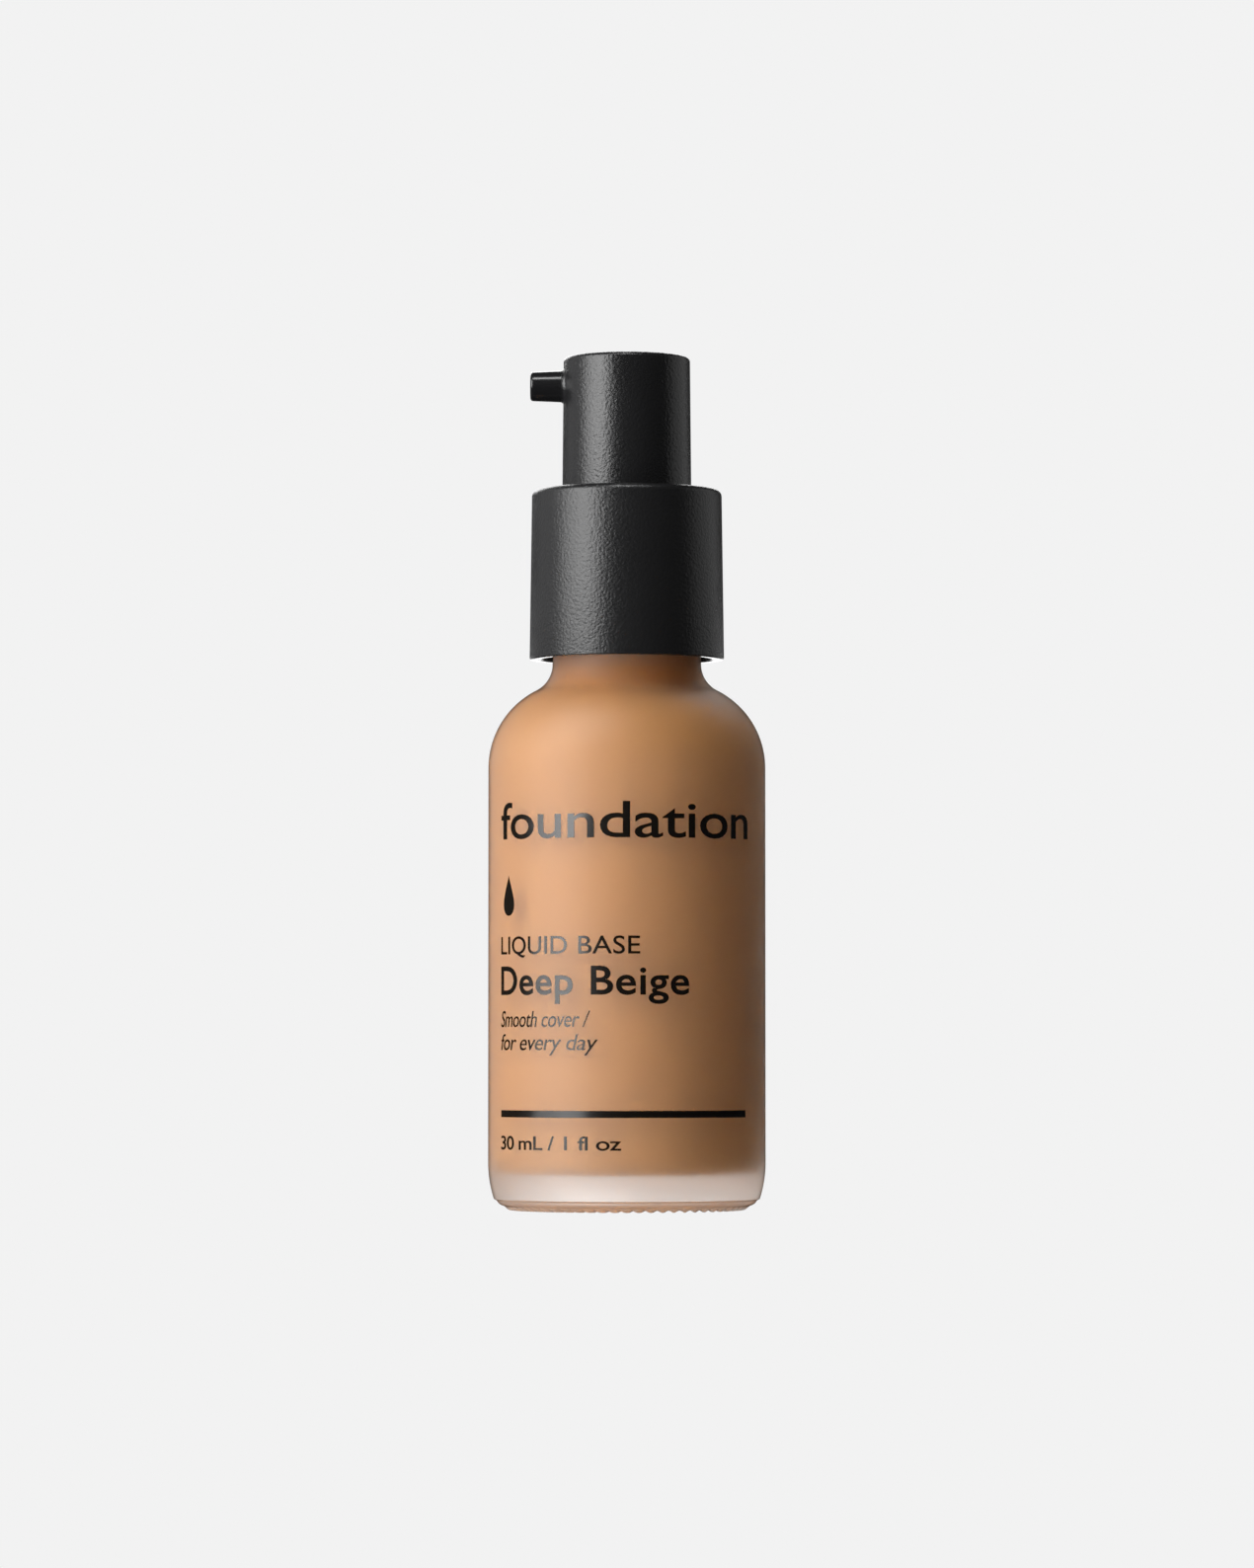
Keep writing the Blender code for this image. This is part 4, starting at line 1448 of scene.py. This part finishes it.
@dataclass
class PumpEngine:
    """What works inside: tube, valves, piston, spring and seals."""

    fit: NeckFit
    spring_radius: float = 2.5
    wire: float = 0.3
    coils: float = 5.5
    dead_coil: float = 0.75
    dead_climb: float = 0.8
    spring_points: int = 265
    spring_sides: int = 14
    cage_height: float = 3.0
    ball_gap: float = 0.05
    inlet_ball: float = 1.5
    outlet_ball: float = 1.4
    throat_radius: float = 1.0
    outlet_depth: float = 4.2
    guide_flange: float = 5.4
    neck_of_stem: float = 1.9
    lip_depth: float = 0.7
    lip_length: float = 0.6
    lip_width: float = 0.3
    disc_radius: float = 2.95
    disc_height: float = 1.1
    pin_height: float = 1.0
    tube_radius: float = 2.0
    tube_bore: float = 1.3
    tube_clearance: float = 1.6
    tube_slant: float = 0.5
    tube_round: float = 0.08
    small: float = 0.05
    fillet: float = 0.1
    fold: float = 0.25
    cap_round: float = 0.3
    segments: int = 96
    tube_segments: int = 64
    ball_segments: int = 48
    glow: float = 0.1

    def spring(self, finish: bpy.types.Material) -> None:
        """The return spring: a helix with flat end coils.

        The wire's middle is at (R cos t, R sin t, z), where z climbs by dead_climb of the wire's radius
        over each end coil and evenly in between.

        Args:
            finish: Material of the wire.
        """
        fit = self.fit
        seat = fit.chamber_z + fit.gap + self.cage_height
        head = fit.piston_z - fit.gap - self.disc_height
        low, high = seat + self.wire + fit.run_gap, head - self.wire - fit.run_gap
        share = np.linspace(0.0, 1.0, self.spring_points)
        dead = self.dead_coil / self.coils
        step = self.dead_climb * self.wire
        climb = np.clip((share - dead) / (1 - 2 * dead), 0.0, 1.0)
        ends = (np.minimum(share, dead) + np.maximum(0.0, share - 1 + dead)) / dead
        height = low + step * ends + (high - low - 2 * step) * climb
        turn = TAU * self.coils * share
        out = np.column_stack((np.cos(turn), np.sin(turn), np.zeros_like(turn)))
        path = out * self.spring_radius
        path[:, 2] = height
        surface = swept(path, out, self.wire, self.spring_sides)
        piece = shown(
            "coil_spring", surface, finish, Body.PUMP_UNIT, Slot.SPRING_STEEL, "return_spring"
        )
        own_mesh(piece)

    def ball(
        self, name: str, node: str, radius: float, seat: float, seat_z: float, body: Body,
        finish: bpy.types.Material,
    ) -> None:
        """A valve ball just clear of a cone seat that rises at 45 degrees.

        Args:
            name: Name of the piece.
            node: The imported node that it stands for.
            radius: Radius of the ball.
            seat: Radius of the seat's hole.
            seat_z: Height of the seat's hole.
            body: The body that it rides on.
            finish: Its material.
        """
        middle = seat_z - seat + math.sqrt(2.0) * (radius + self.ball_gap)
        outline = arc((0.0, middle), radius, -90.0, 90.0, 33)
        outline[[0, -1], 0] = 0.0
        surface = turned(outline, self.ball_segments)
        shown(name, surface, finish, body, Slot.BALL_STEEL, node)

    def gasket(self) -> Array:
        """Section of the flat sealing washer.

        Returns:
            The section's points.
        """
        fit = self.fit
        low, high = fit.gasket_z, fit.gasket_z + fit.gasket_thickness
        inner, outer = fit.bore_radius + fit.gap, fit.neck_radius - fit.gap
        corners = [(inner, low), (outer, low), (outer, high), (inner, high)]
        return rounded([(radius, height, self.fillet) for radius, height in corners])

    def retainer(self) -> Array:
        """Section of the guide ring that plugs the chamber's top.

        Returns:
            The section's points.
        """
        fit = self.fit
        bore, plug = fit.stem_radius + fit.run_gap, fit.chamber_radius - fit.run_gap
        flange, flange_z = self.guide_flange - fit.gap, fit.flange_top_z + fit.gap
        return rounded(
            [
                (bore, fit.retainer_z, self.fillet),
                (plug, fit.retainer_z, self.fold),
                (plug, flange_z, self.small),
                (flange, flange_z, self.small),
                (flange, fit.guide_top_z, self.cap_round),
                (bore, fit.guide_top_z, self.cap_round),
            ]
        )

    def piston(self) -> Array:
        """Section of the sliding seal, with a lip above and a lip below.

        Returns:
            The section's points.
        """
        fit = self.fit
        bore, outer = self.neck_of_stem + fit.run_gap, fit.chamber_radius - fit.run_gap
        half, lip = fit.piston_height / 2, self.lip_length
        waist, groove = outer - self.lip_depth, (bore + outer) / 2
        upper = [
            (waist, half - 2 * lip, self.fillet),
            (outer, half - lip, self.fillet),
            (outer, half, self.fillet),
            (outer - self.lip_width, half, self.fillet),
            (groove, half - lip, 2 * self.fillet),
            (bore, half, self.fillet),
        ]
        lower = [(radius, -height, fillet) for radius, height, fillet in reversed(upper)]
        middle = fit.piston_z + half
        return rounded([(radius, middle + height, fillet) for radius, height, fillet in lower + upper])

    def rod(self) -> Array:
        """Section of the disc under the piston and of its pin.

        Returns:
            The section's points.
        """
        fit = self.fit
        top = fit.piston_z - fit.gap
        foot = top - self.disc_height
        pin, pin_z = fit.stem_bore - fit.run_gap, fit.stem_z + self.pin_height
        return rounded(
            [
                (0.0, foot, 0.0),
                (self.disc_radius, foot, self.fold),
                (self.disc_radius, top, self.fold),
                (pin, top, self.small),
                (pin, pin_z, self.fold),
                (0.0, pin_z, 0.0),
            ]
        )

    def tube(self) -> Surface:
        """The dip tube. Its foot is cut at a slant: it rises by tube_slant times x plus the radius.

        Returns:
            The tube, closed at both ends.
        """
        fit = self.fit
        low = fit.floor_z + self.tube_clearance
        top = fit.chamber_z - fit.seat_drop - fit.throat_length - fit.gap
        inner, outer = self.tube_bore, self.tube_radius
        corners = [(inner, low), (outer, low), (outer, top), (inner, top)]
        section = rounded([(radius, height, self.tube_round) for radius, height in corners])
        surface = turned(section, self.tube_segments)
        x, y, z = surface.points.T
        at_foot = z < low + self.tube_radius / 2
        slanted = np.where(at_foot, z + (x + self.tube_radius) * self.tube_slant, z)
        return replace(surface, points=np.column_stack((x, y, slanted)))

    def build(self, frame: dict) -> None:
        """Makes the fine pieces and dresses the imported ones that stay.

        Args:
            frame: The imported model, as loaded.
        """
        fit = self.fit
        white = MouldedPlastic(
            "seal_polyethylene", (0.80, 0.80, 0.77), (0.74, 0.74, 0.70), 0.42, 0.58, glow=self.glow
        ).made()
        milky = MouldedPlastic(
            "natural_polypropylene", (0.72, 0.73, 0.72), (0.66, 0.67, 0.65), 0.3, 0.42, glow=self.glow
        ).made()
        hose = MouldedPlastic(
            "tube_polyethylene", (0.68, 0.69, 0.68), (0.62, 0.63, 0.61), 0.26, 0.36, glow=self.glow
        ).made()
        wire = DrawnSteel("spring_wire", (0.56, 0.56, 0.57), 0.22, 0.36).made()
        bearing = DrawnSteel("ball_steel", (0.62, 0.62, 0.63), 0.06, 0.14).made()
        self.spring(wire)
        self.ball(
            "valve_ball_lower", "inlet_ball", self.inlet_ball, self.throat_radius,
            fit.chamber_z - fit.seat_drop, Body.INLET_VALVE, bearing,
        )
        self.ball(
            "valve_ball_upper", "outlet_ball", self.outlet_ball, fit.stem_bore,
            fit.stem_top_z - self.outlet_depth, Body.OUTLET_VALVE, bearing,
        )
        rings = [
            ("sealing_washer", self.gasket(), white, Body.PUMP_UNIT, Slot.SEAL_WHITE, "neck_gasket"),
            ("guide_ring", self.retainer(), white, Body.PUMP_UNIT, Slot.SEAL_WHITE, "stem_retainer"),
            ("sliding_seal", self.piston(), white, Body.PISTON_UNIT, Slot.SEAL_WHITE, "piston"),
            ("piston_disc", self.rod(), milky, Body.STEM_UNIT, Slot.NATURAL_PLASTIC, "piston_rod"),
        ]
        for name, outline, finish, body, slot, node in rings:
            shown(name, turned(outline, self.segments), finish, body, slot, node)
        shown("suction_tube", self.tube(), hose, Body.PUMP_UNIT, Slot.TUBE_PLASTIC, "dip_tube")
        kept = {"pump_housing": milky, "pump_stem": milky, "ball_cage": white}
        for node, finish in kept.items():
            materials = frame["nodes"][node].data.materials
            materials.clear()
            materials.append(finish)
            log.info("%s: packed shape kept, dressed in %s", node, finish.name)


# ---------------------------------------------------------------------------
# Studio
# ---------------------------------------------------------------------------


@dataclass(frozen=True)
class SoftBox:
    """A soft light panel that faces the middle of the bottle."""

    name: str
    azimuth: float
    elevation: float
    distance: float
    width: float
    height: float
    brightness: float

    def build(self, target: Vector) -> bpy.types.Object:
        """Hangs the panel. Its azimuth is from the front, to the right, in degrees.

        Args:
            target: The point that it faces.

        Returns:
            The lamp.
        """
        light = bpy.data.lights.new(self.name, "AREA")
        light.shape = "RECTANGLE"
        light.size, light.size_y = self.width, self.height
        light.energy = self.brightness * math.pi * self.width * self.height
        lamp = bpy.data.objects.new(self.name, light)
        lamp.visible_camera = False
        bpy.context.collection.objects.link(lamp)
        turn, rise = math.radians(self.azimuth), math.radians(self.elevation)
        away = Vector((math.sin(turn) * math.cos(rise), -math.cos(turn) * math.cos(rise), math.sin(rise)))
        lamp.location = target + away * self.distance
        lamp.rotation_mode = "QUATERNION"
        lamp.rotation_quaternion = away.to_track_quat("Z", "Y")
        return lamp


@dataclass
class Studio:
    """Camera, lights, pale floor and pale surroundings."""

    lens: float = 147.36
    eye_distance: float = 760.0
    eye_height: float = 19.46
    pitch: float = 2.3315
    backdrop: float = 0.888
    through: float = 1.0
    behind: float = 0.30
    around: float = 0.05
    floor_dark: float = 0.34
    floor_pale: float = 0.36
    floor_radius: float = 4000.0
    floor_depth: float = 2.0
    target_z: float = 50.0
    black_lit: bpy.types.Collection | None = None
    key_lit: bpy.types.Collection | None = None
    glass_lit: bpy.types.Collection | None = None

    def camera(self) -> None:
        """A level long lens a little below the middle of the bottle, tipped up."""
        data = bpy.data.cameras.new("studio_camera")
        data.lens = self.lens
        data.sensor_width = 36.0
        data.clip_start, data.clip_end = 0.01, 20.0
        camera = bpy.data.objects.new("studio_camera", data)
        bpy.context.collection.objects.link(camera)
        camera.location = (0.00002, -self.eye_distance * MM, self.eye_height * MM)
        camera.rotation_euler = (math.radians(90.0 + self.pitch), 0.0, 0.0)
        bpy.context.scene.camera = camera

    def looked_at(self, nodes: Nodes) -> tuple[bpy.types.NodeSocket, bpy.types.NodeSocket]:
        """Tells sight from lighting.

        Args:
            nodes: The nodes of the world or of the floor.

        Returns:
            1 where a ray comes straight, or only through glass, from the eye, else 0, and the tone that
            it meets.
        """
        path = nodes.add("ShaderNodeLightPath").outputs
        clear = nodes.add("ShaderNodeMath", operation="LESS_THAN")
        nodes.feed(clear.inputs[0], path["Diffuse Depth"])
        nodes.feed(clear.inputs[1], 0.5)
        through = nodes.add("ShaderNodeMath", operation="MULTIPLY")
        nodes.feed(through.inputs[0], path["Is Transmission Ray"])
        nodes.feed(through.inputs[1], clear.outputs[0])
        either = nodes.add("ShaderNodeMath", operation="MAXIMUM")
        nodes.feed(either.inputs[0], path["Is Camera Ray"])
        nodes.feed(either.inputs[1], through.outputs[0])
        tone = nodes.blend(path["Is Camera Ray"], grey(self.through), grey(self.backdrop))
        return either.outputs[0], tone

    def surroundings(self) -> None:
        """A world that the camera sees as even pale grey, and that lights from behind more than ahead."""
        world = bpy.data.worlds.new("studio_world")
        world.use_nodes = True
        bpy.context.scene.world = world
        nodes = Nodes(world.node_tree)
        world.node_tree.nodes.clear()
        way = nodes.add("ShaderNodeTexCoord").outputs["Generated"]
        split = nodes.add("ShaderNodeSeparateXYZ", Vector=way)
        back = nodes.add(
            "ShaderNodeMapRange", Value=split.outputs["Y"], From_Min=0.975, From_Max=0.997,
            interpolation_type="SMOOTHSTEP",
        )
        shade = nodes.blend(back.outputs["Result"], grey(self.around), grey(self.behind))
        sight, tone = self.looked_at(nodes)
        colour = nodes.blend(sight, shade, tone)
        glow = nodes.add("ShaderNodeBackground", Color=colour, Strength=1.0)
        nodes.add("ShaderNodeOutputWorld", Surface=glow.outputs[0])

    def floor(self) -> None:
        """A pale matte disc, z = 0, that the camera sees in the backdrop's own tone."""
        far, low = self.floor_radius, -self.floor_depth
        surface = turned(np.array([(0.0, 0.0), (far, 0.0), (far, low), (0.0, low)]), 96)
        mesh = bpy.data.meshes.new("pale_floor")
        mesh.from_pydata(surface.points * MM, [], surface.quads.tolist() + surface.triangles.tolist())
        shader = Shader("pale_floor")
        patches = Effects.place(shader, "marks", Size=120.0).outputs["Value"]
        shader.set(
            Base_Color=shader.blend(patches, grey(self.floor_dark), grey(self.floor_pale)),
            Roughness=0.8,
        )
        sight, tone = self.looked_at(shader)
        even = shader.add("ShaderNodeEmission", Color=tone, Strength=1.0)
        mix = shader.add("ShaderNodeMixShader")
        shader.feed(mix.inputs[0], sight)
        shader.feed(mix.inputs[1], shader.shader.outputs[0])
        shader.feed(mix.inputs[2], even.outputs[0])
        shader.feed(shader.tree.nodes["Material Output"].inputs["Surface"], mix.outputs[0])
        mesh.materials.append(shader.material)
        disc = bpy.data.objects.new("pale_floor", mesh)
        disc.visible_shadow = False
        bpy.context.collection.objects.link(disc)

    def lights(self) -> None:
        """Soft panels for the black parts, which mirror them, and softer, higher ones for the bottle."""
        middle = Vector((0.0, 0.0, self.target_z * MM))
        for_black = (
            SoftBox("wrap_panel", -108.0, 4.0, 0.9, 0.80, 1.2, 0.45),
            SoftBox("edge_strip", 112.0, 4.0, 0.9, 0.90, 1.2, 0.46),
            SoftBox("top_panel", -6.0, 62.0, 0.9, 0.45, 0.18, 11.0),
            SoftBox("hair_panel", -170.0, 28.0, 0.9, 0.7, 0.5, 3.5),
            SoftBox("low_back_panel", 180.0, -2.0, 0.9, 1.6, 0.10, 1.8),
        )
        for_black_and_ink = (
            SoftBox("key_panel", -58.0, 4.0, 0.9, 0.80, 1.3, 5.2),
            SoftBox("key_core", -49.0, 4.0, 0.95, 0.40, 1.3, 2.6),
        )
        for_bottle = (
            SoftBox("side_panel", -63.0, 2.0, 0.9, 0.84, 1.3, 3.5),
            SoftBox("high_panel", -54.0, 50.0, 0.9, 0.8, 0.6, 4.3),
            SoftBox("rear_panel", -112.0, 2.0, 0.9, 1.04, 1.2, 0.6),
            SoftBox("back_panel", 150.0, 48.0, 0.9, 0.8, 0.6, 1.3),
            SoftBox("floor_glow", -36.0, -48.0, 0.9, 0.9, 0.7, 8.8),
        )
        groups = (
            (for_black, self.black_lit),
            (for_black_and_ink, self.key_lit),
            (for_bottle, self.glass_lit),
        )
        for panels, lit in groups:
            for panel in panels:
                panel.build(middle).light_linking.receiver_collection = lit

    def build(self) -> None:
        """Sets up the whole studio."""
        bpy.context.scene.view_settings.view_transform = "Standard"
        self.black_lit = bpy.data.collections.new("black_lit")
        self.key_lit = bpy.data.collections.new("key_lit")
        self.glass_lit = bpy.data.collections.new("glass_lit")
        self.camera()
        self.surroundings()
        self.floor()
        self.lights()


def main() -> None:
    """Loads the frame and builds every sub-assembly in order."""
    logging.basicConfig(level=logging.INFO, format="%(name)s: %(message)s")
    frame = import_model()
    fit = NeckFit()
    studio = Studio()
    studio.build()
    for piece in Bottle(fit).build():
        studio.glass_lit.objects.link(piece)
    for piece in Print(fit).build():
        studio.key_lit.objects.link(piece)
    collar, actuator = Collar(fit), Actuator(fit)
    black = MouldedPlastic(
        "collar_black", (0.007, 0.007, 0.0075), (0.010, 0.010, 0.0105), 0.29, 0.35,
        polish_axis="Z", polish_end=collar.bottom_z + collar.mouth_edge, polished=0.08,
    )
    glossier = replace(
        black, name="actuator_black", smoothest=0.25, roughest=0.31,
        polish_axis="X", polish_end=-actuator.base_radius - actuator.soft, polished=0.2,
    )
    for piece in (collar.build(black.made()), actuator.build(glossier.made())):
        studio.black_lit.objects.link(piece)
        studio.key_lit.objects.link(piece)
    PumpEngine(fit).build(frame)
    bpy.context.view_layer.update()


if __name__ == "__main__":
    main()
